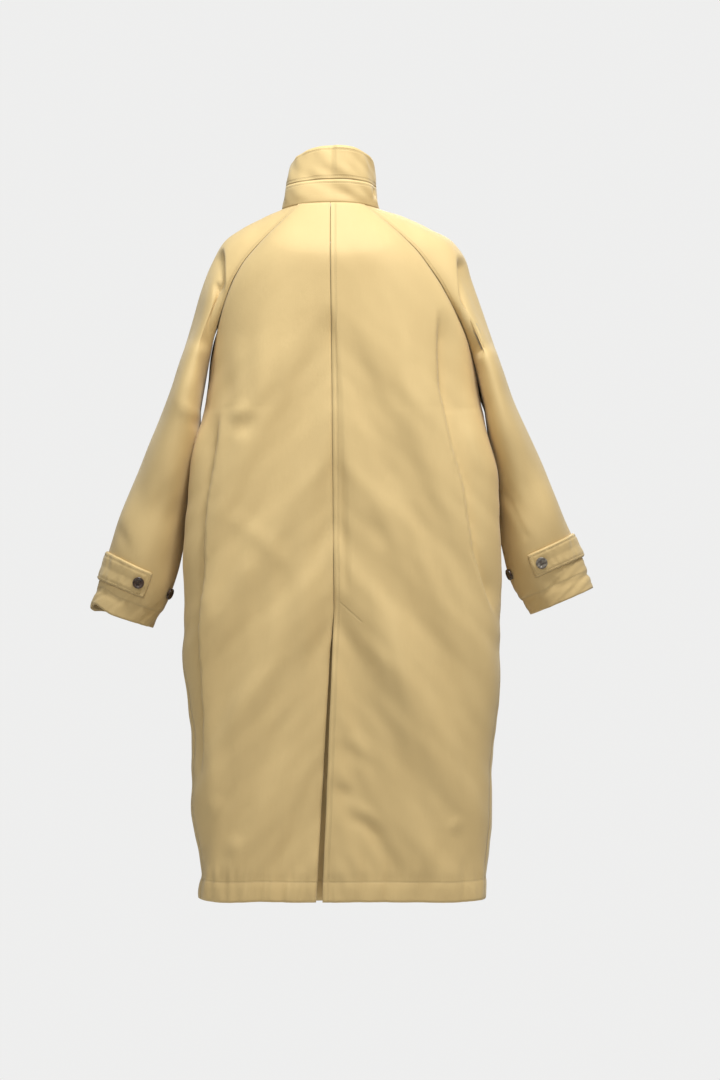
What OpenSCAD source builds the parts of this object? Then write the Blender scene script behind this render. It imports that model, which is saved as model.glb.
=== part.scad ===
// A long raglan overcoat, hung as it is worn: stand collar turned up, buttoned front,
// centre back vent and a buttoned tab on each cuff. The wearer faces -Y, their left is +X,
// and the origin is the centre of the neck opening at the height of the nape.

/* [Body] */
// Nape seam to hem, down the centre back
back_length = 1112; // [950:2:1300]
// Half width of the neck seam
neck_half_width = 78; // [70:1:88]
// Half depth of the neck seam
neck_half_depth = 72; // [66:1:80]
// How far the neck seam drops from the nape to the centre front
front_neck_drop = 62; // [40:1:80]
// Half width of the body across the hips
hip_half_width = 253; // [225:1:280]
// Half width of the body at the hem
hem_half_width = 228; // [205:1:250]
// Half depth of the body across the hips
hip_half_depth = 160; // [140:1:180]
// Half depth of the body at the hem
hem_half_depth = 150; // [130:1:170]
// Height of the turned-up hem
hem_depth = 33; // [20:1:45]

/* [Cloth] */
// Thickness of the outer cloth with its padding
cloth = 2.4; // [1.6:0.1:3]
// Thickness of a facing
facing = 0.9; // [0.6:0.1:1.2]
// Thickness of the lining
lining = 0.8; // [0.5:0.1:1.2]
// Clearance between two layers that lie on each other
layer_gap = 1; // [0.8:0.05:1.2]
// Half of the gap between two cloths that are sewn edge to edge
seam_gap = 0.3; // [0.2:0.05:0.4]

/* [Sleeve] */
// Outer diameter of the cuff
cuff_width = 106; // [92:1:118]
// Sleeve's overarm length, from the underarm level to the cuff
sleeve_length = 362; // [320:1:420]
// Lean of the sleeve away from the body, in degrees
sleeve_lean = 21; // [19:0.5:25]
// Height of the cuff's inside facing
cuff_facing_height = 38; // [25:1:50]

/* [Collar] */
// Height of the collar stand
stand_height = 36; // [28:1:42]
// Height of stand and fall together, at the centre back
collar_height = 91; // [80:1:105]
// How much narrower the collar's top edge is than its foot, each side
collar_taper = 12; // [6:1:18]

/* [Front and vent] */
// How far each front passes the centre line
front_overlap = 35; // [28:1:42]
// Height of the back vent
vent_height = 464; // [380:1:520]
// Width of the vent's underlap
underlap_width = 62; // [50:1:75]
// Height of the opening below the last button
front_slit = 422; // [360:1:460]

/* [Buttons] */
// Diameter of a front button
front_button = 23; // [20:0.5:26]
// Diameter of a cuff button
cuff_button = 18; // [15:0.5:20]
// Thickness of a button's rim
button_thickness = 3.4; // [2.6:0.1:4]
// Number of front buttons
button_count = 5; // [4:1:6]
// First button below the nape
first_button = 98; // [90:1:110]
// Diameter of a button's thread shank
shank = 3; // [2:0.2:4]

/* [Cuff tab] */
// Width of the tab
tab_width = 42; // [36:1:48]
// Distance of the tab's centre line from the cuff's edge
tab_rise = 73; // [64:1:85]
// Angle that the tab wraps round the cuff, in degrees
tab_wrap = 119; // [100:1:130]
// Thickness of the tab
tab_thickness = 3; // [2:0.1:4]

/* [Pockets] */
// Length of the pocket welt
welt_length = 165; // [140:1:185]
// Width of the pocket welt
welt_width = 34; // [26:1:42]
// Top of the welt below the nape
welt_top = 530; // [480:1:580]

/* [Hidden] */
$fn = 48;

// Colours of the cloth, the lining and the buttons.
cloth_colour = [0.80, 0.69, 0.46];
facing_colour = [0.72, 0.61, 0.40];
lining_colour = [0.58, 0.49, 0.34];
horn_colour = [0.20, 0.13, 0.09];
thread_colour = [0.30, 0.22, 0.14];

// Levels are measured down from the nape. Above yoke_level a ring of the body runs over the
// shoulders; from there down every ring is level.
yoke_level = 260;
underarm_level = 330;
squareness = 0.85;
vent_top = back_length - vent_height;
slit_top = back_length - front_slit;
last_button = slit_top - 35;
button_pitch = (last_button - first_button) / (button_count - 1);
// Depth at which the underlapping front and the vent's underlap lie.
under_depth = cloth + facing + 2 * layer_gap + 0.2;
// Where the slanting folds of the vent and of the two front flaps meet the hem.
vent_fold_hem = 120;
front_fold_hem = 130;
under_fold_hem = 100;
under_slit_top = slit_top + 187;
// How far the vent's free edge flares past the centre at the hem, the room beside that edge, and
// where the underlap is sewn.
vent_flare = 18;
vent_room = 7;
underlap_seam = 40;
facing_end = 78;
panel_columns = 11;
sleeve_rows = [0.1, 0.2, 0.3, 0.4, 0.5, 0.6, 0.7, 0.8, 0.9, 1.15, 1.3, 1.45, 1.6, 1.75, 1.87];
// The pocket mouth beside the welt, and the bag behind it.
welt_x = 112;
welt_slant = 32;
mouth_width = 11;
bag_length = 250;
bag_x = 84;
bag_width = 98;
bag_depth = 13;
loop_y = neck_half_depth - 2;
// Heights of the buttons and the tab above the cloth, and the tab's place on the sleeve, whose
// shares run from 1 at the fold line to 2 at the cuff.
button_lift = 1;
tab_lift = 0.7;
tab_share = 2 - tab_rise / sleeve_length;
tab_half = tab_width / 2 / sleeve_length;
tab_start = -8;
tab_button_angle = tab_start + tab_wrap - 15;
spare_button_angle = 158;
facing_share = 2 - cuff_facing_height / sleeve_length;
// How far the cap's lining reaches towards the raglan seam, in columns of the cap's six.
lining_columns = 5;

function mix(a, b, t) = a + (b - a) * t;
function clamp(t) = max(0, min(1, t));
function smooth(t) = let (c = clamp(t)) c * c * (3 - 2 * c);
function unit(v) = v / norm(v);
function sgn(v) = v < 0 ? -1 : 1;

// A smooth curve through knots [[t, value], ...]; a value is a number or a vector.
function slope(k, i) =
    i == 0 ? (k[1][1] - k[0][1]) / (k[1][0] - k[0][0])
    : i == len(k) - 1 ? (k[i][1] - k[i - 1][1]) / (k[i][0] - k[i - 1][0])
    : (k[i + 1][1] - k[i - 1][1]) / (k[i + 1][0] - k[i - 1][0]);
function span(k, t, i = 0) = i >= len(k) - 2 || t < k[i + 1][0] ? i : span(k, t, i + 1);
function curve(k, t) =
    let (i = span(k, t), h = k[i + 1][0] - k[i][0], s = (t - k[i][0]) / h)
    k[i][1] * (2 * s * s * s - 3 * s * s + 1) + slope(k, i) * h * (s * s * s - 2 * s * s + s)
    + k[i + 1][1] * (3 * s * s - 2 * s * s * s) + slope(k, i + 1) * h * (s * s * s - s * s);

// Half width and height of a ring of the body at its side.
function side_x(level) = curve([
    [0, neck_half_width], [70, 135], [130, 182], [190, 197], [yoke_level, 207],
    [underarm_level, 221], [430, 234], [back_length - 512, hip_half_width - 4],
    [back_length - 412, hip_half_width], [back_length - 200, mix(hip_half_width, hem_half_width, 0.42)],
    [back_length, hem_half_width]], level);
function side_z(level) = level >= yoke_level ? -level
    : -curve([[0, 8], [70, 32], [130, 64], [190, 150], [yoke_level, yoke_level]], level);
// Half depth of a ring at the back and at the front.
function back_y(level) = curve([
    [0, neck_half_depth], [60, 104], [130, 127], [yoke_level, 145], [500, hip_half_depth - 4],
    [back_length - 400, hip_half_depth], [back_length, hem_half_depth]], level);
function front_y(level) = curve([
    [0, neck_half_depth], [60, 100], [130, 124], [yoke_level, 144], [500, hip_half_depth - 6],
    [back_length - 400, hip_half_depth - 2], [back_length, hem_half_depth - 2]], level);
function front_z(level) = level >= yoke_level ? -level
    : -mix(front_neck_drop, yoke_level, level / yoke_level);

// The body's outer surface. Angle 0 is the wearer's left side, 90 the centre back, -90 the front.
function body(angle, level) =
    let (c = cos(angle), s = sin(angle))
    [side_x(level) * sgn(c) * pow(abs(c), squareness),
     (s >= 0 ? back_y(level) : front_y(level)) * sgn(s) * pow(abs(s), squareness),
     mix(side_z(level), s >= 0 ? -level : front_z(level), s * s)];
// The angle at which a ring passes a given x.
function angle_at(x, level) =
    let (a = acos(pow(min(1, abs(x) / side_x(level)), 1 / squareness))) x >= 0 ? a : 180 - a;

// The way into the cloth from a point of the body: level below the yoke, downwards on top.
function inward(p) =
    let (w = clamp((p.z + yoke_level) / 230),
         flat = unit([-p.x / pow(hip_half_width, 2), -p.y / pow(hip_half_depth, 2), 0]))
    unit(flat * (1 - 0.7 * w) + [0, 0, -0.85 * w]);
function sunk(p, depth) = p + inward(p) * depth;

// The overarm line and the raglan seams of the left sleeve, as [x, z] against the share q of
// the way from the neck to the underarm; beyond 1 the line runs on down the sleeve to 2.
sleeve_down = [sin(sleeve_lean), -cos(sleeve_lean)];
overarm_end = [266, -296] + sleeve_down * sleeve_length;
underarm_end = overarm_end - cuff_width * [cos(sleeve_lean + 1), sin(sleeve_lean + 1)];
overarm = [
    [0, [neck_half_width, -8]], [0.2, [112, -20]], [0.4, [165, -49]], [0.5, [192, -71]],
    [0.62, [211, -115]], [0.8, [234, -195]], [1, [266, -296]],
    [1.3, mix([266, -296], overarm_end, 0.3)], [2, overarm_end]];
underarm = [
    [1, [222, -underarm_level]], [1.3, [242, -440]], [1.6, [251, -545]], [2, underarm_end]];
back_seam = [
    [0, [neck_half_width * 0.67, -2]], [0.2, [88, -36]], [0.4, [130, -80]], [0.5, [152, -103]],
    [0.62, [172, -140]], [0.8, [198, -215]], [1, [222, -underarm_level]]];
front_seam = [
    [0, [neck_half_width * 0.64, -front_neck_drop * 0.64]], [0.2, [84, -66]], [0.4, [126, -99]],
    [0.5, [149, -120]], [0.62, [171, -153]], [0.8, [198, -222]], [1, [222, -underarm_level]]];
seam_angle = [[0, 49], [0.2, 58], [0.4, 72], [0.5, 82], [0.62, 100], [0.8, 138], [1, 180]];
sleeve_half_depth = [
    [0, 77], [0.2, 80], [0.4, 80], [0.5, 79], [0.62, 78], [0.8, 84], [1, 95], [1.3, 91],
    [1.6, 76], [2, cuff_width / 2 + 1]];

// The sleeve's outer surface. Angle 0 is the overarm line, positive angles lie at the back.
function sleeve(angle, q) =
    let (top = curve(overarm, q),
         seam = q <= 1 ? curve(angle >= 0 ? back_seam : front_seam, q) : curve(underarm, q),
         end = q < 1 ? curve(seam_angle, q) : 180,
         across = unit(top - seam),
         half = norm(top - seam) / (1 - cos(end)),
         flat = top - across * half * (1 - cos(angle)))
    [flat[0], curve(sleeve_half_depth, q) * sin(angle), flat[1]];
function sleeve_axis(q) =
    let (end = q < 1 ? curve(seam_angle, q) : 180, a = sleeve(0, q), b = sleeve(end, q), c = sleeve(-end, q))
    (a * 2 + b + c) / 4;
// The way into the sleeve's cloth, turning to the body's own towards the raglan seam.
function sleeve_inward(p, angle, q) =
    let (own = unit(sleeve_axis(q) + (q < 0.7 ? [-20 + 30 * q, 0, -60 + 50 * q] : [0, 0, 0]) - p),
         end = q < 1 ? curve(seam_angle, q) : 180)
    q >= 1 ? own : unit(mix(own, inward(p), smooth(abs(angle) / end) * smooth((1 - q) / 0.15)));

// A raglan seam as the edge of the body's own panels.
function share_at(level) = curve([
    [0, 0], [100, 0.36], [165, 0.57], [215, 0.75], [yoke_level, 0.875], [underarm_level, 1]], level);
function raglan_point(level, back) =
    let (q = share_at(level)) sleeve((back ? 1 : -1) * curve(seam_angle, q), q);
function raglan_angle(level) = curve([
    [0, 51.6], [100, 43], [165, 37], [215, 27], [yoke_level, 17], [underarm_level, 0]], level);
// Angle of the side seam, which drifts to the back towards the hem.
function side_angle(level) = 20 * smooth((level - underarm_level) / (back_length - underarm_level));
function outer_angle(level, back) =
    level < underarm_level ? (back ? 1 : -1) * raglan_angle(level) : side_angle(level);

// The columns of a left-hand body panel at a level, as [angle, share of the way to the seam]. A
// panel's plan is [edge, steps, narrowing]: its inner edge as a list of [level, x], the x of its
// inner columns beyond that edge, and a list of [level, factor] that draws those columns together.
function columns(level, back, plan, trim) =
    let (side = back ? 1 : -1,
         gap = (seam_gap + trim) / (side_x(level) + back_y(level)) * 115 * side,
         outer = outer_angle(level, back) + gap,
         x = lookup(level, plan[0]),
         inner = [for (s = plan[1]) side * angle_at(x + s * lookup(level, plan[2]), level)],
         last = inner[len(inner) - 1])
    concat([for (a = inner) [a, 0]],
           [for (i = [1 : panel_columns]) [mix(last, outer, i / panel_columns), i / panel_columns]]);
function panel_point(column, level, back) =
    let (edge = body(outer_angle(level, back), level),
         pull = level < underarm_level ? raglan_point(level, back) - edge : [0, 0, 0])
    body(column[0], level) + pull * pow(column[1], 3);
// How deep the underlapping front lies, and how far the lining stands off the pocket.
function lap(x) = under_depth * smooth((66 - x) / 22);
function pocket_room(p) =
    let (low = smooth((90 - welt_top - p.z) / 50) * smooth((p.z + welt_top + bag_length + 120) / 60))
    (bag_depth + 3 * layer_gap + 1) * low * smooth((p.x - 52) / 26) * smooth((242 - p.x) / 28);

// A closed sheet from a grid of [outer point, inner point] pairs.
module sheet(grid, turned = false) {
    cols = len(grid[0]);
    rows = len(grid);
    size = rows * cols;
    points = [for (side = [0, 1]) for (row = grid) for (pair = row) pair[side]];
    function at(i, j, side) = side * size + i * cols + j;
    function quad(a, b, c, d) = turned ? [[a, c, b], [a, d, c]] : [[a, b, c], [a, c, d]];
    faces = [
        for (i = [0 : rows - 2], j = [0 : cols - 2], f = quad(
            at(i, j, 0), at(i, j + 1, 0), at(i + 1, j + 1, 0), at(i + 1, j, 0))) f,
        for (i = [0 : rows - 2], j = [0 : cols - 2], f = quad(
            at(i, j, 1), at(i + 1, j, 1), at(i + 1, j + 1, 1), at(i, j + 1, 1))) f,
        for (i = [0 : rows - 2], f = quad(at(i, 0, 0), at(i + 1, 0, 0), at(i + 1, 0, 1), at(i, 0, 1))) f,
        for (i = [0 : rows - 2], f = quad(
            at(i, cols - 1, 0), at(i, cols - 1, 1), at(i + 1, cols - 1, 1), at(i + 1, cols - 1, 0))) f,
        for (j = [0 : cols - 2], f = quad(at(0, j, 0), at(0, j, 1), at(0, j + 1, 1), at(0, j + 1, 0))) f,
        for (j = [0 : cols - 2], f = quad(
            at(rows - 1, j, 0), at(rows - 1, j + 1, 0), at(rows - 1, j + 1, 1), at(rows - 1, j, 1))) f];
    polyhedron(points, faces, convexity = 8);
}

// Levels of the rings, which every layer of the body shares.
ring_levels = concat(
    [0, 9, 30, 65, 100, 135, 175, 215, 260, 295, underarm_level],
    [for (i = [1 : 9]) underarm_level + (back_length - underarm_level) * i / 9],
    [back_length - hem_depth - 0.5]);
function levels(from, to, extra = []) =
    let (own = [for (v = ring_levels) if (v > from + 3 && v < to - 3) v],
         more = [for (e = extra) if (e > from && e < to) e],
         kept = [for (v = own) if (len([for (e = more) if (abs(e - v) < 6) e]) == 0) v])
    concat([from], sorted(concat(kept, more)), [to]);
function sorted(v) = len(v) < 2 ? v
    : let (m = v[floor(len(v) / 2)])
      concat(sorted([for (x = v) if (x < m) x]), [m], sorted([for (x = v) if (x > m) x]));

// A left-hand layer of the body between two depths, on the columns "first" to "last" of a plan.
module body_layer(back, from, to, depth, thickness, plan, first = 0, last = 99, trim = 0,
                  lapped = false, roomy = false) {
    end = min(last, len(plan[1]) + panel_columns - 1);
    sheet([for (v = levels(from, to, [for (k = plan[0]) k[0]]))
        let (all = columns(v, back, plan, trim)) [for (i = [first : end])
            let (p = panel_point(all[i], v, back),
                 d = depth + (lapped ? lap(p.x) : 0) + (roomy ? pocket_room(p) : 0))
            [sunk(p, d), sunk(p, d + thickness)]]], turned = back);
}
// A strip of the body between two edges, each a list of [level, x].
module body_strip(back, from, to, depth, thickness, edge, other, count = 4, lapped = false) {
    side = back ? 1 : -1;
    sheet([for (v = levels(from, to, [for (k = edge) k[0]])) [for (i = [0 : count])
        let (x = mix(lookup(v, edge), lookup(v, other), i / count),
             p = body(side * angle_at(x, v), v),
             d = depth + (lapped ? lap(x) : 0))
        [sunk(p, d), sunk(p, d + thickness)]]], turned = back);
}
// A layer of the left sleeve between two shares, from and to an angle given as a share of the
// seam's own, which is 180 degrees below the underarm. "clear" holds it off both ends, in degrees.
module sleeve_layer(start, end, from, to, depth, thickness, cols, clear = 0.4) {
    rows = concat([start], [for (q = sleeve_rows) if (q > start + 0.01 && q < end - 0.01) q], [end]);
    sheet([for (q = rows) let (seam = q < 1 ? curve(seam_angle, q) : 180) [for (j = [0 : cols])
        let (a = mix(from * seam + clear, to * seam - clear, j / cols),
             p = sleeve(a, q),
             n = sleeve_inward(p, a, q))
        [p + n * depth, p + n * (depth + thickness)]]]);
}
// Straight edges of the vent and of the fronts, as [level, x].
function down(top, a, b) = [[top, a], [back_length, b]];
inner_depth = cloth + layer_gap;
free_edge = -front_overlap;
vent_panel_fold = down(vent_top, 2 * seam_gap, vent_fold_hem + 2 * seam_gap);
vent_flap_fold = down(vent_top, 0, -vent_fold_hem);
vent_free_edge = down(vent_top, -2 * seam_gap, vent_flare);
vent_left_edge = [[vent_top - 1, seam_gap], [vent_top + 1, vent_room], [back_length, vent_flare + vent_room]];
front_panel_fold = down(slit_top, free_edge, front_fold_hem + 2 * seam_gap);
front_flap_fold = down(slit_top, free_edge - 2 * seam_gap, front_fold_hem);
under_panel_fold = down(under_slit_top, free_edge, under_fold_hem + 2 * seam_gap);
under_flap_fold = down(under_slit_top, free_edge - 2 * seam_gap, under_fold_hem);
function moved(edge, by) = [for (k = edge) [k[0], k[1] + by]];
// Plans of the four panels of the body.
back_left_plan = [concat([[0, seam_gap]], vent_left_edge), [0, 26], [[0, 1]]];
back_right_plan = [concat([[0, seam_gap]], vent_panel_fold), [0, 26], [[0, 1]]];
front_left_plan = [concat([[0, free_edge]], front_panel_fold), [0, front_overlap, facing_end],
    [[0, 0.8], [60, 1], [slit_top, 1], [slit_top + 150, 0.12]]];
front_right_plan = [concat([[0, free_edge]], under_panel_fold),
    [0, front_overlap, facing_end, facing_end + 23],
    [[0, 0.55], [60, 1], [under_slit_top, 1], [under_slit_top + 120, 0.12]]];

module mirrored() { mirror([1, 0, 0]) children(); }

// Back of the body: two panels that meet in the centre seam, with the vent below it.
module back_panel_left() {
    color(cloth_colour) body_layer(true, 1, back_length, 0, cloth, back_left_plan);
}
module back_panel_right() {
    color(cloth_colour) mirrored() body_layer(true, 1, back_length, 0, cloth, back_right_plan);
}
module vent_flap() {
    color(cloth_colour) body_strip(true, vent_top + 8, back_length, 0, cloth,
        vent_flap_fold, vent_free_edge);
}
module vent_facing() {
    color(facing_colour) body_strip(true, vent_top + 30, back_length - 2, inner_depth, facing,
        moved(vent_flap_fold, 3), moved(vent_free_edge, -1));
}
// The underlap hangs from the left panel and passes under the flap.
module vent_underlap() {
    color(cloth_colour) sheet([for (v = levels(vent_top, back_length - 1)) [for (i = [0 : 6])
        let (x = mix(-underlap_width, underlap_seam, i / 6),
             p = body(angle_at(x, v), v),
             d = mix(inner_depth + facing + 0.5, under_depth, smooth((underlap_seam - 12 - x) / 10)))
        [sunk(p, d), sunk(p, d + facing)]]], turned = true);
}

// Raglan caps, which run from the neck over the shoulder to the sleeve's fold line.
module raglan_back() {
    color(cloth_colour) sleeve_layer(0.02, 0.996, 0, 1, 0, cloth, 6);
}
module raglan_front() {
    color(cloth_colour) sleeve_layer(0.02, 0.996, -1, 0, 0, cloth, 6);
}
module raglan_lining() {
    color(lining_colour) {
        sleeve_layer(0.08, 0.985, 0, lining_columns / 6, inner_depth, lining, lining_columns, 0.5);
        sleeve_layer(0.08, 0.985, -lining_columns / 6, 0, inner_depth, lining, lining_columns, 0.5);
    }
}

// Fronts. The left one laps over the right, which lies deeper near its edge.
module front_panel_left() {
    color(cloth_colour) difference() {
        body_layer(false, 1, back_length, 0, cloth, front_left_plan);
        pocket_mouth();
        buttonholes();
    }
}
module front_panel_right() {
    color(cloth_colour) mirrored() difference() {
        body_layer(false, 1, back_length, 0, cloth, front_right_plan, lapped = true);
        pocket_mouth();
    }
}
module front_flap_left() {
    color(cloth_colour) body_strip(false, slit_top + 8, back_length, 0, cloth,
        down(slit_top, free_edge, free_edge), front_flap_fold, 5);
}
module front_flap_right() {
    color(cloth_colour) mirrored() body_strip(false, under_slit_top + 8, back_length, 0, cloth,
        down(slit_top, free_edge, free_edge), under_flap_fold, 6, lapped = true);
}
module flap_facing_left() {
    color(facing_colour) body_strip(false, slit_top + 26, back_length - 2, inner_depth, facing,
        down(slit_top, free_edge + 1, free_edge + 1), moved(front_flap_fold, -3), 5);
}
module flap_facing_right() {
    color(facing_colour) mirrored() body_strip(false, under_slit_top + 26, back_length - 2,
        inner_depth, facing, down(slit_top, free_edge + 1, free_edge + 1),
        moved(under_flap_fold, -3), 6, lapped = true);
}
module front_facing_left() {
    color(facing_colour) difference() {
        body_layer(false, 8, back_length - hem_depth - 1, inner_depth, facing, front_left_plan,
            last = 2);
        buttonholes();
    }
}
module front_facing_right() {
    color(facing_colour) mirrored() body_layer(false, 8, back_length - hem_depth - 1, inner_depth,
        facing, front_right_plan, last = 3, lapped = true);
}

// Linings of the body, which end at the facings and above the turned-up hem.
module body_lining(back, from, plan, first, lapped = false) {
    color(lining_colour) body_layer(back, from, back_length - hem_depth - 1, inner_depth, lining,
        [moved(plan[0], first == 0 ? 0 : 1), plan[1], plan[2]], first, trim = 1.5,
        lapped = lapped, roomy = !back);
}
module back_lining_left() { body_lining(true, 64, back_left_plan, 0); }
module back_lining_right() { mirrored() body_lining(true, 64, back_right_plan, 0); }
module front_lining_left() { body_lining(false, 10, front_left_plan, 2); }
module front_lining_right() { mirrored() body_lining(false, 10, front_right_plan, 3, true); }
module back_neck_facing() {
    color(facing_colour) {
        body_layer(true, 4, 62, inner_depth, facing, back_left_plan, last = 7);
        mirrored() body_layer(true, 4, 62, inner_depth, facing, back_right_plan, last = 7);
    }
}
module hem_facing(back, plan, lapped = false) {
    color(facing_colour) body_layer(back, back_length - hem_depth, back_length - 1, inner_depth,
        facing, plan, lapped = lapped);
}
module hem_facing_left() {
    hem_facing(true, back_left_plan);
    hem_facing(false, front_left_plan);
}
module hem_facing_right() {
    mirrored() hem_facing(true, back_right_plan);
    mirrored() hem_facing(false, front_right_plan, true);
}
module hanger_loop() {
    tape = 3;
    module slot(r) {
        for (x = [-20, 20]) translate([x, 0]) circle(r = r);
        translate([-20, -r]) square([40, 2 * r]);
    }
    color(facing_colour) translate([0, loop_y, -17]) rotate([90, 0, 0])
        linear_extrude(1.6) difference() {
            slot(10);
            slot(10 - tape);
        }
}

// Pockets: a welt on the outside, a slanting mouth beside it and a bag behind the front.
module pocket_strip(from, to, depth, thickness, left, width, slant, count = 3) {
    body_strip(false, from, to, depth, thickness,
        [[from, left], [to, left + slant]], [[from, left + width], [to, left + width + slant]], count);
}
module pocket_mouth() {
    pocket_strip(welt_top + 10, welt_top + welt_length - 10, -1, cloth + layer_gap + lining + 2.5,
        welt_x + welt_width + 1, mouth_width, welt_slant, 2);
}
module pocket_welt() {
    color(cloth_colour) pocket_strip(welt_top, welt_top + welt_length, -cloth - 0.7, cloth,
        welt_x, welt_width, welt_slant);
}
module pocket_bag() {
    color(lining_colour) difference() {
        pocket_strip(welt_top - 14, welt_top + bag_length, inner_depth + 0.3, bag_depth, bag_x,
            bag_width, 22, 5);
        pocket_strip(welt_top - 12, welt_top + bag_length - 2, inner_depth + 0.3 + lining,
            bag_depth - 2 * lining, bag_x + 2, bag_width - 4, 22, 5);
        pocket_mouth();
    }
}

// Collar, turned up: a stand and a fall of three layers.
function collar_point(angle, height, depth) =
    let (p = body(angle, 0),
         centre = unit([-p.x / pow(neck_half_width, 2), -p.y / pow(neck_half_depth, 2), 0]))
    p + centre * (collar_taper * height / collar_height + depth) + [0, 0, height];
function collar_top(angle) = collar_height - 22 * smooth((1 - sin(angle)) / 2);
module collar_layer(low, top_drop, depth, thickness, inset) {
    sheet([for (i = [0 : 3]) [for (j = [0 : 32])
        let (a = mix(inset - 86, 266 - inset, j / 32),
             top = low == 0 ? stand_height : collar_top(a) - top_drop,
             h = mix(low == 0 ? 1 : stand_height + 0.6, top, i / 3))
        [collar_point(a, h, depth), collar_point(a, h, depth + thickness)]]], turned = true);
}
module collar_stand() { color(cloth_colour) collar_layer(0, 0, 0, cloth, 0); }
module under_collar() { color(cloth_colour) collar_layer(1, 0, 0, 1.1, 0); }
module collar_interlining() { color(lining_colour) collar_layer(1, 2, 1.45, 0.5, 1.2); }
module collar_fall() { color(cloth_colour) collar_layer(1, 0, 2.3, 1.1, 0); }

// A button with a raised rim and four holes, its back face at z = 0.
module button(diameter, thickness) {
    difference() {
        rotate_extrude() polygon([
            [0, 0], [diameter * 0.42, 0], [diameter * 0.5, thickness * 0.35],
            [diameter * 0.5, thickness * 0.7], [diameter * 0.46, thickness],
            [diameter * 0.36, thickness], [diameter * 0.28, thickness * 0.6], [0, thickness * 0.6]]);
        for (a = [45 : 90 : 315]) rotate(a) translate([diameter * 0.1, 0, -1])
            cylinder(d = diameter * 0.09, h = thickness + 2);
    }
}
// Places children on the front's centre line at a level, with +Z out of the coat.
module on_front(level) {
    p = body(-90, level);
    d = body(-90, level + 4) - body(-90, level - 4);
    translate(p) rotate([90 - atan2(-d.y, -d.z), 0, 0]) children();
}
module each_front_button() {
    for (i = [0 : button_count - 1]) on_front(first_button + i * button_pitch) children();
}
module buttonholes() {
    each_front_button() translate([0, 0, -inner_depth - facing - 2]) {
        for (x = [-2, front_button - 2]) translate([x, 0, 0]) cylinder(d = shank + 1, h = 14);
        translate([-2, -shank / 2 - 0.5, 0]) cube([front_button, shank + 1, 14]);
    }
}
module front_buttons() {
    color(horn_colour) each_front_button() translate([0, 0, button_lift])
        button(front_button, button_thickness);
}
module front_button_threads() {
    color(thread_colour) each_front_button() translate([0, 0, 0.3 - under_depth])
        cylinder(d = shank, h = under_depth + button_lift - 0.6);
}

// Sleeves, from the fold line at the underarm's level to the cuff.
module sleeve_back() { color(cloth_colour) sleeve_layer(1.004, 2, 0, 1, 0, cloth, 9); }
module sleeve_front() { color(cloth_colour) sleeve_layer(1.004, 2, -1, 0, 0, cloth, 9); }
module sleeve_lining() {
    color(lining_colour) sleeve_layer(1.02, facing_share - 0.004, -1, 1, inner_depth, lining, 18, 0.6);
}
module cuff_facing() {
    color(facing_colour) sleeve_layer(facing_share, 1.997, -1, 1, inner_depth, facing, 18, 0.6);
}

// The tab, its button and a second button that takes the cuff in.
function cuff_normal(angle, q) = unit(cross(sleeve(angle, q + 0.02) - sleeve(angle, q - 0.02),
    sleeve(angle + 1, q) - sleeve(angle - 1, q)));
module on_cuff(angle, q, lift) {
    n = cuff_normal(angle, q);
    translate(sleeve(angle, q) + n * lift) rotate([0, acos(n.z), atan2(n.y, n.x)]) children();
}
module cuff_tab() {
    color(cloth_colour) difference() {
        sheet([for (i = [-1 : 1]) [for (j = [0 : 12])
            let (a = tab_start + tab_wrap * j / 12,
                 q = tab_share + tab_half * i,
                 n = cuff_normal(a, q))
            [sleeve(a, q) + n * (tab_lift + tab_thickness), sleeve(a, q) + n * tab_lift]]]);
        on_cuff(tab_button_angle, tab_share, -4) cylinder(d = shank + 1.2, h = 20);
    }
}
module cuff_buttons() {
    color(horn_colour) {
        on_cuff(tab_button_angle, tab_share, tab_lift + tab_thickness + 0.6)
            button(cuff_button, button_thickness);
        on_cuff(spare_button_angle, tab_share, 0.8) button(cuff_button, button_thickness);
    }
}
module cuff_button_threads() {
    color(thread_colour) {
        on_cuff(tab_button_angle, tab_share, 0.3)
            cylinder(d = shank, h = tab_lift + tab_thickness);
        on_cuff(spare_button_angle, tab_share, 0.25) cylinder(d = shank, h = 0.3);
    }
}

back_panel_left();
back_panel_right();
vent_flap();
vent_facing();
vent_underlap();
raglan_back();  // raglan_back_left
mirrored() raglan_back();  // raglan_back_right
raglan_front();  // raglan_front_left
mirrored() raglan_front();  // raglan_front_right
raglan_lining();  // raglan_lining_left
mirrored() raglan_lining();  // raglan_lining_right
front_panel_left();
front_panel_right();
front_flap_left();
front_flap_right();
flap_facing_left();
flap_facing_right();
front_facing_left();
front_facing_right();
collar_stand();
collar_fall();
collar_interlining();
under_collar();
back_neck_facing();
hanger_loop();
back_lining_left();
back_lining_right();
front_lining_left();
front_lining_right();
hem_facing_left();
hem_facing_right();
pocket_welt();  // pocket_welt_left
mirrored() pocket_welt();  // pocket_welt_right
pocket_bag();  // pocket_bag_left
mirrored() pocket_bag();  // pocket_bag_right
front_buttons();
front_button_threads();
sleeve_back();  // sleeve_back_left
mirrored() sleeve_back();  // sleeve_back_right
sleeve_front();  // sleeve_front_left
mirrored() sleeve_front();  // sleeve_front_right
sleeve_lining();  // sleeve_lining_left
mirrored() sleeve_lining();  // sleeve_lining_right
cuff_facing();  // cuff_facing_left
mirrored() cuff_facing();  // cuff_facing_right
cuff_tab();  // cuff_tab_left
mirrored() cuff_tab();  // cuff_tab_right
cuff_buttons();  // cuff_buttons_left
mirrored() cuff_buttons();  // cuff_buttons_right
cuff_button_threads();  // cuff_button_threads_left
mirrored() cuff_button_threads();  // cuff_button_threads_right
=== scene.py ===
import math

import bpy
import numpy as np
from mathutils import Matrix, Vector


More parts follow.
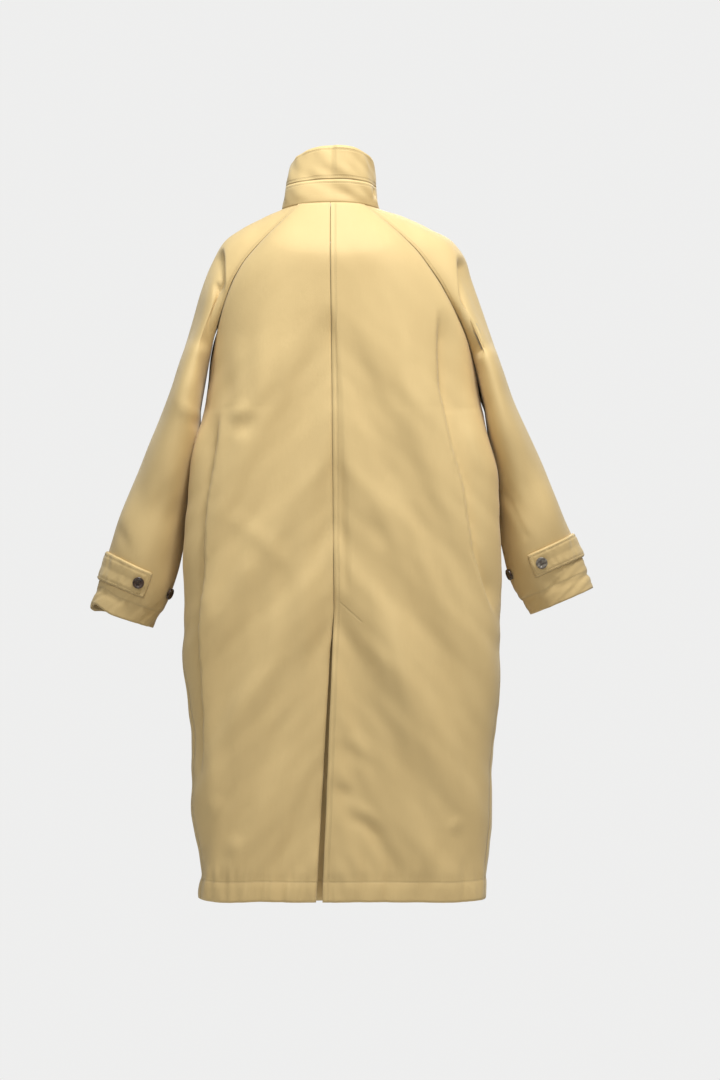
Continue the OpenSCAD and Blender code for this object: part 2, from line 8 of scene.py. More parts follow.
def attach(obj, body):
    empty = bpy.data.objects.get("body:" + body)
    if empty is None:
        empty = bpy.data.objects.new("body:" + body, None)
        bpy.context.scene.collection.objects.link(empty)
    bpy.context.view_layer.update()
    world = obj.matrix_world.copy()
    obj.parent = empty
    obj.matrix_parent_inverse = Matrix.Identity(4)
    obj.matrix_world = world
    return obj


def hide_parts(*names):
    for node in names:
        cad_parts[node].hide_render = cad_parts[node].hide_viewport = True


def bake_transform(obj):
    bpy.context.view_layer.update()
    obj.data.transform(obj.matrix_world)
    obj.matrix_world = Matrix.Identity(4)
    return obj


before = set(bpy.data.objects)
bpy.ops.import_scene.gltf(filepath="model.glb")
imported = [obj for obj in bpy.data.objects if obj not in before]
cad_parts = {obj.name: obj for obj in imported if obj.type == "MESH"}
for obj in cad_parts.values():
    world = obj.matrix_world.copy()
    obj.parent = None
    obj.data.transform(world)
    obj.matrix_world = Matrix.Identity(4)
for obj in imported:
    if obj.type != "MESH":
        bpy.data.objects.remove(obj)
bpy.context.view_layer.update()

# Camera: square on to the back of the coat, with a long lens.
DISTANCE = 7.0
VIEW_X = -0.0408
VIEW_Z = -0.536
FRAME_HEIGHT = 1.728
lens = bpy.data.cameras.new("camera")
lens.sensor_fit = "VERTICAL"
lens.sensor_width = 36
lens.sensor_height = 36
lens.lens = 36 * DISTANCE / FRAME_HEIGHT
camera = bpy.data.objects.new("camera", lens)
camera.location = (VIEW_X, DISTANCE, VIEW_Z)
camera.rotation_euler = (math.pi / 2, 0, math.pi)
bpy.context.scene.collection.objects.link(camera)
bpy.context.scene.camera = camera

# Sizes of the coat in millimetres. Levels are measured down from the nape.
HEM = 1104
UNDERARM = 330
VENT_TOP = 648
SLIT_TOP = 690
UNDER_SLIT_TOP = 877
YOKE = 260
CLOTH = 2.4
FACING = 0.9
LINING = 0.8
GAP = 1.0
SEAM = 0.35
HEM_BAND = 33
LAP = 35
STAND = 36
TAB_WIDTH = 46
LEFT, RIGHT = 1, -1


def curve(knots, t):
    """A smooth line through [place, value] knots; a value is a number or a point."""
    places = np.array([k[0] for k in knots], float)
    values = np.array([k[1] for k in knots], float)
    steps = np.diff(places)
    rises = np.diff(values, axis=0)
    if values.ndim > 1:
        steps = steps[:, None]
    slopes = np.empty_like(values)
    slopes[0] = (rises / steps)[0]
    slopes[-1] = (rises / steps)[-1]
    slopes[1:-1] = (rises[1:] + rises[:-1]) / (steps[1:] + steps[:-1])
    t = np.asarray(t, float)
    i = np.clip(np.searchsorted(places, t, side="right") - 1, 0, len(places) - 2)
    h = places[i + 1] - places[i]
    s = (t - places[i]) / h
    if values.ndim > 1:
        s, h = s[..., None], h[..., None]
    return (values[i] * (2 * s**3 - 3 * s**2 + 1) + slopes[i] * h * (s**3 - 2 * s**2 + s)
            + values[i + 1] * (3 * s**2 - 2 * s**3) + slopes[i + 1] * h * (s**3 - s**2))


def smooth(t):
    c = np.clip(t, 0, 1)
    return c * c * (3 - 2 * c)


def mix(a, b, t):
    return a + (b - a) * t


def unit(v):
    return v / np.maximum(np.linalg.norm(v, axis=-1, keepdims=True), 1e-9)


# Half width of the coat on each side, half depth at the back and front, and how square a ring is.
WIDTH = {
    LEFT: [[0, 84], [70, 135], [130, 180], [190, 194], [260, 203], [330, 214], [380, 231], [430, 239],
           [512, 242], [600, 243], [700, 239], [860, 231], [960, 226], [1060, 217], [HEM, 215]],
    RIGHT: [[0, 72], [70, 133], [130, 184], [190, 200], [260, 222], [330, 240], [380, 256], [430, 267],
            [512, 270], [600, 267], [700, 265], [860, 256], [960, 251], [1060, 246], [HEM, 244]]}
BACK = [[0, 72], [40, 99], [72, 122], [90, 130], [130, 134], [YOKE, 142], [500, 150], [712, 154], [HEM, 146]]
FRONT = [[0, 72], [60, 100], [130, 124], [YOKE, 144], [500, 154], [712, 158], [HEM, 148]]
SIDE_DROP = [[0, 8], [70, 32], [130, 64], [190, 150], [YOKE, YOKE]]
SQUARE_BACK = [[0, 0.85], [130, 0.8], [260, 0.68], [400, 0.54], [600, 0.46], [HEM, 0.42]]
SQUARE_FRONT = [[0, 0.85], [260, 0.8], [500, 0.72], [HEM, 0.68]]


def ring(angle, level, side):
    """A ring of the body. Angle 0 is the side, 90 the centre back, -90 the centre front."""
    c, s = np.cos(np.radians(angle)), np.sin(np.radians(angle))
    back = s >= 0
    power = np.where(back, curve(SQUARE_BACK, level), curve(SQUARE_FRONT, level))
    across = curve(WIDTH[side], level) * np.sign(c) * np.abs(c) ** power
    deep = np.where(back, curve(BACK, level), curve(FRONT, level)) * np.sign(s) * np.abs(s) ** power
    shoulder = np.where(level >= YOKE, level, curve(SIDE_DROP, np.minimum(level, YOKE)))
    throat = np.where(level >= YOKE, level, mix(62, YOKE, level / YOKE))
    height = -mix(shoulder, np.where(back, level, throat), s * s)
    return np.stack([across * side, deep, height], axis=-1)


def angle_at(x, level, side, back):
    """The angle at which a ring passes x, which is measured towards its own side."""
    power = curve(SQUARE_BACK if back else SQUARE_FRONT, level)
    share = np.clip(np.abs(x) / curve(WIDTH[side], level), 0, 1) ** (1 / power)
    a = np.degrees(np.arccos(share))
    return np.where(x >= 0, a, 180 - a)


# Overarm, underarm and raglan lines of each sleeve, as points (x, z) against the share of the way
# from the neck (0) to the underarm (1) and on to the cuff (2).
OVERARM = {
    LEFT: [[0, [84, -8]], [0.2, [116, -22]], [0.4, [160, -46]], [0.48, [178, -62]], [0.56, [193, -88]],
           [0.66, [208, -122]], [0.8, [229, -190]], [1, [262, -296]], [1.3, [302, -397]],
           [1.6, [344, -503]], [1.8, [368, -578]], [2, [391, -644]]],
    RIGHT: [[0, [72, -8]], [0.2, [112, -20]], [0.4, [163, -44]], [0.48, [188, -58]], [0.56, [208, -84]],
            [0.66, [219, -120]], [0.8, [243, -188]], [1, [279, -296]], [1.3, [323, -393]],
            [1.6, [366, -497]], [1.8, [394, -558]], [2, [414, -612]]]}
UNDERARM_LINE = {
    LEFT: [[1, [214, -UNDERARM]], [1.15, [215, -380]], [1.3, [223, -432]], [1.45, [234, -492]],
           [1.6, [243, -556]], [1.8, [262, -622]], [2, [291, -676]]],
    RIGHT: [[1, [240, -UNDERARM]], [1.15, [246, -377]], [1.3, [252, -425]], [1.45, [258, -485]],
            [1.6, [267, -545]], [1.8, [283, -604]], [2, [314, -655]]]}
BACK_SEAM = {
    LEFT: [[0, [56, -2]], [0.2, [86, -32]], [0.4, [126, -74]], [0.5, [147, -101]], [0.62, [166, -138]],
           [0.8, [190, -215]], [1, [214, -UNDERARM]]],
    RIGHT: [[0, [46, -2]], [0.2, [84, -32]], [0.4, [128, -74]], [0.5, [150, -103]], [0.62, [174, -140]],
            [0.8, [210, -215]], [1, [240, -UNDERARM]]]}
FRONT_SEAM = {
    side: [[0, [50, -40]], [0.2, [84, -66]], [0.4, [126, -99]], [0.5, [149, -120]], [0.62, [170, -153]],
           [0.8, [198, -222]], [1, UNDERARM_LINE[side][0][1]]] for side in (LEFT, RIGHT)}
SEAM_ANGLE = [[0, 49], [0.2, 58], [0.4, 72], [0.5, 82], [0.62, 100], [0.8, 138], [1, 180]]
SLEEVE_DEPTH = [[0, 77], [0.2, 80], [0.4, 80], [0.5, 79], [0.62, 78], [0.8, 84], [1, 93], [1.3, 88],
                [1.6, 76], [2, 54]]


def sleeve(angle, share, side):
    """The sleeve's cloth. Angle 0 is the overarm line, positive angles lie at the back."""
    top = curve(OVERARM[side], share)
    upper = np.minimum(share, 1)
    cap = np.where((angle >= 0)[..., None], curve(BACK_SEAM[side], upper), curve(FRONT_SEAM[side], upper))
    under = np.where((share <= 1)[..., None], cap, curve(UNDERARM_LINE[side], np.maximum(share, 1)))
    end = np.where(share < 1, curve(SEAM_ANGLE, upper), 180)
    turn = np.radians(angle)
    half = np.linalg.norm(top - under, axis=-1) / (1 - np.cos(np.radians(end)))
    flat = top - unit(top - under) * (half * (1 - np.cos(turn)))[..., None]
    deep = curve(SLEEVE_DEPTH, share) * np.sin(turn)
    return np.stack([flat[..., 0] * side, deep, flat[..., 1]], axis=-1)


SHARE_AT = [[0, 0], [100, 0.36], [165, 0.57], [215, 0.75], [YOKE, 0.875], [UNDERARM, 1]]


def raglan_point(level, side, back):
    share = curve(SHARE_AT, np.minimum(level, UNDERARM))
    angle = curve(SEAM_ANGLE, share)
    return sleeve(angle if back else -angle, share, side)


def outer_angle(level, side, back):
    """Where a body panel ends: at the depth of the raglan seam, and below it at the side seam."""
    way = 1 if back else -1
    deep = np.abs(raglan_point(level, side, back)[..., 1]) / curve(BACK if back else FRONT, level)
    power = curve(SQUARE_BACK if back else SQUARE_FRONT, level)
    above = way * np.degrees(np.arcsin(np.clip(deep, 0, 1) ** (1 / power)))
    return np.where(level < UNDERARM, above, 20 * smooth((level - UNDERARM) / (HEM - UNDERARM)))


# Folds, as seen from behind: each is a line of points (x, z), its width and its height. A ridge
# swells on both sides of its line. A ledge drops sharply on one side and comes back slowly.
RIDGES = [
    ([(50, -330), (52, -450), (46, -650), (42, -900)], 12, 5),
    ([(22, -400), (20, -520), (22, -640), (26, -800)], 14, -5),
    ([(-47, -678), (-76, -731), (-92, -797)], 9, 6),
    ([(-62, -560), (-105, -792), (-137, -952)], 22, 7),
    ([(-90, -640), (-123, -815), (-158, -905)], 16, 5),
    ([(-150, -760), (-170, -900), (-186, -1010)], 20, 4),
    ([(92, -718), (145, -800), (182, -896)], 12, 5.5),
    ([(120, -660), (160, -740), (196, -850)], 13, -4),
    ([(182, -938), (200, -992)], 8, 4),
    ([(150, -1003), (174, -1046)], 8, 4),
    ([(60, -860), (110, -960), (136, -1050)], 16, 4),
    ([(206, -476), (150, -510), (112, -540), (75, -578), (50, -630)], 12, 3.5),
    ([(104, -540), (137, -590), (163, -640)], 10, 4),
    ([(176, -598), (198, -637), (206, -700)], 9, 5),
    ([(124, -330), (160, -378)], 10, -5),
    ([(132, -312), (170, -352)], 8, 4),
    ([(-4, -846), (-41, -907)], 9, -5),
    ([(-22, -840), (-60, -900)], 8, 4),
    ([(-3, -921), (-33, -960)], 8, -5),
    ([(-15, -974), (-50, -992), (-79, -1026)], 7, -4.5),
    ([(-18, -956), (-52, -972), (-88, -1008)], 8, 4),
    ([(-180, -1010), (-206, -975)], 7, 4),
    ([(-62, -300), (-84, -360), (-98, -430)], 16, 3.5),
    ([(-84, -430), (-112, -500), (-134, -560)], 14, 4),
    ([(-54, -480), (-84, -560)], 12, -3.5),
    ([(-120, -250), (-128, -330), (-142, -400)], 16, 4),
    ([(150, -200), (164, -250), (176, -300)], 12, 4),
    ([(90, -180), (110, -260), (116, -330)], 18, 3),
    ([(-195, -700), (-222, -800), (-228, -900)], 14, 4),
    ([(210, -760), (196, -900), (192, -1040)], 9, 4),
]
LEDGES = [
    ([(184, -320), (190, -380), (206, -478), (210, -568), (217, -664), (217, -792), (212, -920)], -30, 15),
    ([(2, -152), (-8, -280), (-13, -380), (-18, -500), (-25, -632)], -30, 7),
    ([(-166, -157), (-170, -288), (-186, -379), (-206, -442), (-222, -555), (-262, -668)], 52, 14),
]
SLEEVE_RIDGES = [
    ([(216, -250), (222, -330), (214, -400)], 18, 4),
    ([(248, -300), (238, -330), (214, -352)], 7, 3.5),
    ([(236, -320), (224, -350), (212, -372)], 6, -3.5),
    ([(300, -330), (282, -420), (262, -500)], 24, 4),
    ([(322, -430), (300, -500), (280, -560)], 16, -3.5),
    ([(300, -470), (276, -530), (258, -580)], 14, 3.5),
    ([(346, -500), (334, -540), (328, -566)], 6, -3),
    ([(-222, -260), (-250, -350), (-276, -430)], 16, 4.5),
    ([(-262, -300), (-290, -380), (-326, -450)], 20, 4),
    ([(-270, -420), (-302, -480), (-340, -540)], 14, -4),
    ([(-262, -450), (-290, -500), (-318, -548)], 10, 3.5),
    ([(-318, -440), (-344, -500), (-372, -560)], 14, 4),
    ([(-300, -560), (-322, -580), (-350, -606)], 8, 3),
    ([(-330, -590), (-352, -606), (-380, -610)], 6, -3),
]
SLEEVE_LEDGES = [
    ([(178, -66), (176, -110), (174, -150), (184, -200), (192, -240)], -20, 17),
    ([(197, -118), (197, -160), (198, -200), (194, -230)], 13, 10),
    ([(-196, -80), (-202, -149), (-209, -210), (-222, -250)], 24, 16),
    ([(-266, -448), (-291, -492), (-317, -536)], -9, 2.5),
]
seeds = np.random.default_rng(7)


def waves(count, short, long, lean, spread):
    """Random long waves whose crests lean by a given angle from the upright."""
    lengths = np.exp(seeds.uniform(np.log(short), np.log(long), count))
    turns = np.radians(lean + seeds.normal(0, spread, count))
    return np.cos(turns) / lengths, np.sin(turns) / lengths, seeds.uniform(0, 2 * np.pi, count)


def ripple(x, z, field):
    total = 0
    for kx, kz, phase in zip(*field):
        total = total + np.cos(2 * np.pi * (kx * x + kz * z) + phase)
    return total / math.sqrt(len(field[0]) / 2)


BROAD = waves(26, 95, 240, 24, 9)
FINE = waves(40, 30, 75, 25, 16)
PUCKER = waves(30, 9, 26, 4, 20)
SLEEVE_BROAD = waves(26, 90, 240, -24, 14)


def along_line(x, z, points):
    """Signed distance from a line of points, and the share of the way along it."""
    points = np.array(points, float)
    lengths = np.linalg.norm(np.diff(points, axis=0), axis=1)
    starts = np.concatenate([[0], np.cumsum(lengths)])
    best = np.full(x.shape, 1e9)
    signed = np.full(x.shape, 1e9)
    share = np.zeros(x.shape)
    for i, length in enumerate(lengths):
        way = (points[i + 1] - points[i]) / length
        dx, dz = x - points[i][0], z - points[i][1]
        t = dx * way[0] + dz * way[1]
        low = -1e9 if i == 0 else 0
        high = 1e9 if i == len(lengths) - 1 else length
        held = np.clip(t, low, high)
        off = np.hypot(dx - held * way[0], dz - held * way[1])
        closer = off < best
        best = np.where(closer, off, best)
        signed = np.where(closer, off * np.sign(dx * way[1] - dz * way[0]), signed)
        share = np.where(closer, (starts[i] + t) / starts[-1], share)
    return signed, share


def tapered(share, end=0.3):
    return smooth(share / end) * smooth((1 - share) / end)


def folds(x, z, ridges, ledges):
    total = np.zeros_like(x)
    for points, width, height in ridges:
        d, share = along_line(x, z, points)
        total += 0.72 * height * np.exp(-(d / (1.45 * width)) ** 2) * tapered(share, 0.5)
    for points, width, height in ledges:
        d, share = along_line(x, z, points)
        d = d * np.sign(width)
        drop = smooth((d + 2) / 7) * np.exp(-np.maximum(d, 0) / abs(width))
        total -= height * drop * tapered(share, 0.12)
    return total


def as_seen(points):
    """Where points appear on the plane y = 0 from behind."""
    k = DISTANCE * 1000 / (DISTANCE * 1000 - points[..., 1])
    x = VIEW_X * 1000 + (points[..., 0] - VIEW_X * 1000) * k
    z = VIEW_Z * 1000 + (points[..., 2] - VIEW_Z * 1000) * k
    return x, z


def body_relief(points, level, side):
    x, z = as_seen(points)
    back = smooth((points[..., 1] - 64) / 50)
    low = smooth((level - 90) / 260)
    soft = 2.8 * low + 0.4
    relief = folds(x, z, RIDGES, LEDGES) * back
    relief = relief + ripple(np.abs(x), z, BROAD) * soft + ripple(np.abs(x), z, FINE) * (0.14 + 0.45 * low)
    calm = smooth(level / 60)
    between = smooth((level - UNDERARM) / 60) * smooth((650 - level) / 90)
    hug = 19 * np.exp(-(points[..., 1] / 48) ** 2) * between
    flap = smooth((level - VENT_TOP) / 90) * (points[..., 1] > 0)
    edge_x = points[..., 0] - 18 * np.clip((level - VENT_TOP) / (HEM - VENT_TOP), 0, 1)
    if side == LEFT:
        relief = relief - 4.5 * flap * np.exp(-np.maximum(edge_x - 5, 0) / 26)
    else:
        relief = relief + flap * (2.6 * np.exp(edge_x / 16) - 1.2 * np.exp(-((edge_x + 40) / 20) ** 2))
    band = np.exp(-((HEM - level - HEM_BAND) / 9) ** 2)
    relief = relief * (calm * mix(1, 0.55, smooth((level - HEM + 60) / 60)))
    hem = ripple(x, z * 0.3, PUCKER) * (0.55 * smooth((level - HEM + 75) / 40)) - 1.1 * band
    hem = hem + ripple(x, z * 0.5, FINE) * (1.1 * smooth((level - HEM + 110) / 90))
    hem = hem + 0.8 * smooth((level - HEM + HEM_BAND) / 8) * smooth((HEM - level + 3) / 10)
    return relief + hem - hug


def sleeve_relief(points, share, seam_share):
    x, z = as_seen(points)
    back = smooth((points[..., 1] - 5) / 40)
    low = smooth((share - 0.5) / 0.4)
    relief = folds(x, z, SLEEVE_RIDGES, SLEEVE_LEDGES) * back
    across = np.abs(points[..., 1]) / curve(SLEEVE_DEPTH, share)
    relief = relief + ripple(np.abs(x), z, SLEEVE_BROAD) * (1.3 * low + 0.2) * smooth(across * 1.3 + 0.08)
    relief = relief + ripple(np.abs(x), z, FINE) * 0.42
    by_seam = smooth((1.02 - seam_share) / 0.3)
    fade = mix(by_seam, 1, smooth((share - 1) / 0.3)) * smooth(share / 0.06)
    near_cuff = smooth((2 - share) / 0.12)
    band = np.exp(-(((2 - share) * 362 - 30) / 6) ** 2)
    pucker = ripple(x + z, z * 0.2, PUCKER) * 0.5 * smooth((share - 1.8) / 0.1)
    return relief * fade * mix(0.35, 1, near_cuff) + pucker - 1.2 * band


# Meshes of cloth.
def grid_normals(points):
    """Outward directions of a grid of points."""
    across = np.gradient(points, axis=1)
    down = np.gradient(points, axis=0)
    return unit(np.cross(across, down))


def lengths_across(points):
    steps = np.linalg.norm(np.diff(points, axis=1), axis=-1)
    return np.concatenate([np.zeros((len(points), 1)), np.cumsum(steps, axis=1)], axis=1)


def lengths_down(points):
    steps = np.linalg.norm(np.diff(points, axis=0), axis=-1)
    return np.concatenate([np.zeros((1, points.shape[1])), np.cumsum(steps, axis=0)], axis=0)


def deselect():
    bpy.ops.object.select_all(action="DESELECT")


def modify(piece, kind, **settings):
    deselect()
    piece.select_set(True)
    bpy.context.view_layer.objects.active = piece
    modifier = piece.modifiers.new("work", kind)
    for key, value in settings.items():
        setattr(modifier, key, value)
    bpy.ops.object.modifier_apply(modifier=modifier.name)


def store(piece, name, *columns):
    values = np.stack([np.ravel(c) for c in columns], axis=-1)
    if values.shape[1] < 3:
        values = np.concatenate([values, np.zeros((len(values), 3 - values.shape[1]))], axis=1)
    made = piece.data.attributes.new(name, "FLOAT_VECTOR", "POINT")
    made.data.foreach_set("vector", values.astype(np.float32).ravel())


FAR = 9.0


def cloth_piece(name, points, thickness, stitched=("seam", "rim", "hem"), turned=False, tack=None):
    """A sheet of cloth: a flat grid laid on the given points (rows, columns, xyz, in mm)."""
    rows, columns = points.shape[:2]
    deselect()
    bpy.ops.mesh.primitive_grid_add(x_subdivisions=columns - 1, y_subdivisions=rows - 1, size=2)
    piece = bpy.context.object
    piece.name = name
    flat = np.zeros(len(piece.data.vertices) * 3)
    piece.data.vertices.foreach_get("co", flat)
    flat = flat.reshape(-1, 3)
    i = np.rint((flat[:, 1] + 1) / 2 * (rows - 1)).astype(int)
    j = np.rint((flat[:, 0] + 1) / 2 * (columns - 1)).astype(int)
    across, down = lengths_across(points) * 0.001, lengths_down(points) * 0.001
    laid = points[i, j] * 0.001
    piece.data.vertices.foreach_set("co", laid.ravel())
    sides = [("Seam", "seam", across, down), ("Rim", "rim", across[:, -1:] - across, down),
             ("Hem", "hem", down[-1:] - down, across)]
    for label, key, distance, along in sides:
        off = 0 if key in stitched else FAR
        store(piece, label, distance[i, j] + off, along[i, j])
    store(piece, "Weave", across[i, j], down[i, j])
    off, share = (FAR + 0 * across, 0 * across) if tack is None else along_line(*as_seen(points), tack)
    off = np.where((share < 0) | (share > 1), FAR, off * 0.001)
    store(piece, "Tack", np.abs(off)[i, j], down[i, j])
    if turned:
        bpy.ops.object.mode_set(mode="EDIT")
        bpy.ops.mesh.select_all(action="SELECT")
        bpy.ops.mesh.flip_normals()
        bpy.ops.object.mode_set(mode="OBJECT")
    piece["flat"] = [float(across[:, -1].max()), float(down[-1].max()),
                     float(sum_area(points) * 1e-6)]
    modify(piece, "SOLIDIFY", thickness=thickness * 0.001, offset=-1)
    for face in piece.data.polygons:
        face.use_smooth = True
    return piece


def sum_area(points):
    a, b = points[1:, 1:] - points[:-1, :-1], points[1:, :-1] - points[:-1, 1:]
    return 0.5 * np.linalg.norm(np.cross(a, b), axis=-1).sum()


def levels_from(top, bottom, pitch):
    return np.linspace(top, bottom, max(3, int(round((bottom - top) / pitch)) + 1))


def body_grid(side, back, levels, inner, outer, columns, depth=0.0, pull=True, lapped=None, relief=True):
    """Points of a layer of the body, evenly spaced from its inner edge to its outer one. inner is x
    at each level towards the layer's own side; outer is an angle, or x where pull is off."""
    rows = len(levels)
    fine = 160
    level = levels[:, None]
    start = angle_at(inner[:, None], level, side, back)
    way = 1 if back else -1
    stop = outer[:, None] * way if pull else angle_at(outer[:, None], level, side, back)
    t = np.linspace(0, 1, fine)[None, :]
    inner_x = inner[:, None]
    outer_x = ring(stop * way, level, side)[..., 0] * side
    # finer steps where the ring turns: half of the steps by x, half by angle
    by_x = angle_at(mix(inner_x, outer_x, t), np.broadcast_to(level, (rows, fine)), side, back)
    by_angle = mix(start, stop, t)
    angles = np.sort(np.concatenate([by_x, by_angle], axis=1), axis=1)[:, ::-1]
    path = ring(angles * way, np.broadcast_to(level, angles.shape), side)
    length = lengths_across(path)
    total = length[:, -1:]
    u = np.linspace(0, 1, columns)
    chosen = np.stack([np.interp(u * total[r, 0], length[r], angles[r]) for r in range(rows)])
    grid_level = np.broadcast_to(level, chosen.shape)
    points = ring(chosen * way, grid_level, side)
    if pull:
        edge = ring(outer[:, None], level, side)
        seam = raglan_point(level[:, 0], side, back)[:, None, :]
        shift = np.where((level < UNDERARM)[..., None], seam - edge, 0)
        points = points + shift * (u[None, :, None] ** 3)
    normals = grid_normals(points)
    middle_z = points[..., 2] - 200 * smooth(1 - grid_level / 200)
    middle = np.stack([0 * points[..., 0], 0 * points[..., 0], middle_z], -1)
    facing_out = np.sign((normals * (points - middle)).sum(-1).mean())
    normals = normals * facing_out
    rise = -depth
    if relief:
        rise = rise + body_relief(points, grid_level, side)
    if lapped is not None:
        rise = rise - lapped(points[..., 0] * side)
    rise = rise * np.ones(chosen.shape)
    points = points + normals * rise[..., None]
    if relief:
        near_hem = smooth((level - HEM + 160) / 160)
        points[..., 2] += 1.6 * ripple(points[..., 0], 0 * points[..., 0], BROAD) * near_hem
    return points, facing_out


def seam_x(level):
    """How far the centre back seam wanders to the wearer's left."""
    return np.interp(level, [0, 80, 300, VENT_TOP], [6, 6, 3, 0])


def edge(levels, knots):
    return np.interp(levels, [k[0] for k in knots], [k[1] for k in knots])


UNDER = CLOTH + FACING + 2 * GAP + 0.2
INNER = CLOTH + GAP


def lap_depth(x):
    return UNDER * smooth((66 - x) / 22)


def panel_edges(side, back, levels):
    """Inner edge of each of the four body panels, towards its own side."""
    if back and side == LEFT:
        below = edge(levels, [[VENT_TOP, SEAM], [VENT_TOP + 60, 6], [HEM, 28]])
        return np.where(levels < VENT_TOP, seam_x(levels) + SEAM, below)
    if back:
        return np.where(levels < VENT_TOP, -seam_x(levels) + SEAM, edge(levels, [[VENT_TOP, 0], [HEM, -18]]))
    return np.full(len(levels), -float(LAP))


def shell(side, back, name, columns=62, pitch=4.2, depth=0.0, top=1.0, bottom=HEM, thickness=CLOTH,
          **options):
    levels = levels_from(top, bottom, pitch)
    inner = options.pop("inner", None)
    inner = panel_edges(side, back, levels) if inner is None else inner(levels)
    lapped = lap_depth if (not back and side == RIGHT) else None
    outer = outer_angle(levels, side, back) + (SEAM * 0.4 if back else -SEAM * 0.4)
    points, out = body_grid(side, back, levels, inner, outer,
                            columns, depth, lapped=lapped)
    stitched = options.get("stitched", ("seam", "rim", "hem"))
    return cloth_piece(name, points, thickness, stitched, turned=out < 0, tack=options.get("tack"))


def strip(side, back, name, top, bottom, first, last, depth, thickness, columns=10, pitch=8.0,
          stitched=(), lapped=None, relief=True):
    """A narrow layer of the body between two edges, each a list of [level, x]."""
    levels = levels_from(top, bottom, pitch)
    points, out = body_grid(side, back, levels, edge(levels, first), edge(levels, last), columns, depth,
                            pull=False, lapped=lapped, relief=relief)
    return cloth_piece(name, points, thickness, stitched, turned=out < 0)


def cuff_tilt(angle, share, side):
    """The left cuff hangs a little open: its back edge is drawn up at the overarm."""
    lift = np.zeros(angle.shape + (3,))
    if side == LEFT:
        lift[..., 2] = 9 * np.exp(-((angle - 34) / 26) ** 2) * smooth((share - 1.86) / 0.14)
        lift[..., 2] -= 4 * np.exp(-((angle + 20) / 24) ** 2) * smooth((share - 1.86) / 0.14)
    return lift


def sleeve_grid(side, first, last, start, end, rows, columns, depth=0.0, clear=0.4):
    """Points of a layer of a sleeve, from and to an angle given as a share of the seam's own."""
    share = np.linspace(start, end, rows)[:, None]
    seam = np.where(share < 1, curve(SEAM_ANGLE, np.minimum(share, 1)), 180)
    u = np.linspace(0, 1, columns)[None, :]
    angle = mix(first * seam + clear, last * seam - clear, u)
    share = np.broadcast_to(share, angle.shape)
    points = sleeve(angle, share, side)
    normals = grid_normals(points)
    axis = np.mean(points, axis=1, keepdims=True) * [1, 0, 1]
    out = np.sign((normals * (points - axis)).sum(-1).mean())
    normals = normals * out
    seam_share = np.abs(angle) / seam
    rise = sleeve_relief(points, share, seam_share) - depth
    points = points + cuff_tilt(angle, share, side)
    return points + normals * rise[..., None], out


def sleeve_piece(name, side, first, last, start, end, rows, columns, depth, thickness, stitched, clear=0.4):
    points, out = sleeve_grid(side, first, last, start, end, rows, columns, depth, clear)
    return cloth_piece(name, points, thickness, stitched, turned=out < 0)


# Finishes.
class Value:
    """A shader socket that takes part in Python expressions."""

    def __init__(self, finish, socket):
        self.finish, self.socket = finish, socket

    def __add__(self, other):
        return self.finish.maths("ADD", self, other)

    def __sub__(self, other):
        return self.finish.maths("SUBTRACT", self, other)

    def __rsub__(self, other):
        return self.finish.maths("SUBTRACT", other, self)

    def __mul__(self, other):
        return self.finish.maths("MULTIPLY", self, other)

    def __truediv__(self, other):
        return self.finish.maths("DIVIDE", self, other)

    def __pow__(self, other):
        return self.finish.maths("POWER", self, other)

    __radd__ = __add__
    __rmul__ = __mul__


class Finish:
    """A material under construction."""

    def __init__(self, name, **constants):
        self.material = bpy.data.materials.new(name)
        self.material.use_nodes = True
        self.tree = self.material.node_tree
        self.tree.nodes.clear()
        self.shader = self.node("ShaderNodeBsdfPrincipled", sockets=constants)
        self.node("ShaderNodeOutputMaterial", sockets={"Surface": self.shader.outputs[0]})

    def node(self, kind, settings=None, sockets=None):
        made = self.tree.nodes.new(kind)
        for key, value in (settings or {}).items():
            if key == "stops":
                ramp = made.color_ramp.elements
                while len(ramp) < len(value):
                    ramp.new(0.5)
                for stop, (place, colour) in zip(ramp, value):
                    stop.position = place
                    stop.color = (*colour, 1)
            else:
                setattr(made, key, value)
        for key, value in (sockets or {}).items():
            if isinstance(value, Value):
                value = value.socket
            if isinstance(value, bpy.types.NodeSocket):
                self.tree.links.new(value, made.inputs[key])
            else:
                made.inputs[key].default_value = value
        return made

    def maths(self, operation, *values):
        made = self.node("ShaderNodeMath", {"operation": operation}, dict(enumerate(values)))
        return Value(self, made.outputs[0])

    def drive(self, **links):
        for key, value in links.items():
            value = value.socket if isinstance(value, Value) else value
            self.tree.links.new(value, self.shader.inputs[key.replace("_", " ")])

    def attribute(self, name):
        """The first two parts of a piece's attribute, in metres."""
        made = self.node("ShaderNodeAttribute", {"attribute_type": "GEOMETRY", "attribute_name": name})
        parts = self.node("ShaderNodeSeparateXYZ", sockets={0: made.outputs["Vector"]})
        return Value(self, parts.outputs[0]), Value(self, parts.outputs[1])

    def place(self):
        return self.node("ShaderNodeTexCoord").outputs["Object"]

    def noise(self, scale, detail=3.0, vector=None):
        sockets = {"Scale": scale, "Detail": detail, "Vector": vector or self.place()}
        made = self.node("ShaderNodeTexNoise", sockets=sockets)
        return Value(self, made.outputs[0])

    def blend(self, factor, a, b):
        made = self.node("ShaderNodeMix", {"data_type": "RGBA"}, {0: factor})
        for index, value in ((6, a), (7, b)):
            if isinstance(value, bpy.types.NodeSocket):
                self.tree.links.new(value, made.inputs[index])
            else:
                made.inputs[index].default_value = (*value, 1)
        return made.outputs[2]

    def bump(self, height, distance=0.001, normal=None):
        sockets = {"Height": height, "Distance": distance, "Strength": 1.0}
        if normal is not None:
            sockets["Normal"] = normal
        return self.node("ShaderNodeBump", sockets=sockets).outputs[0]


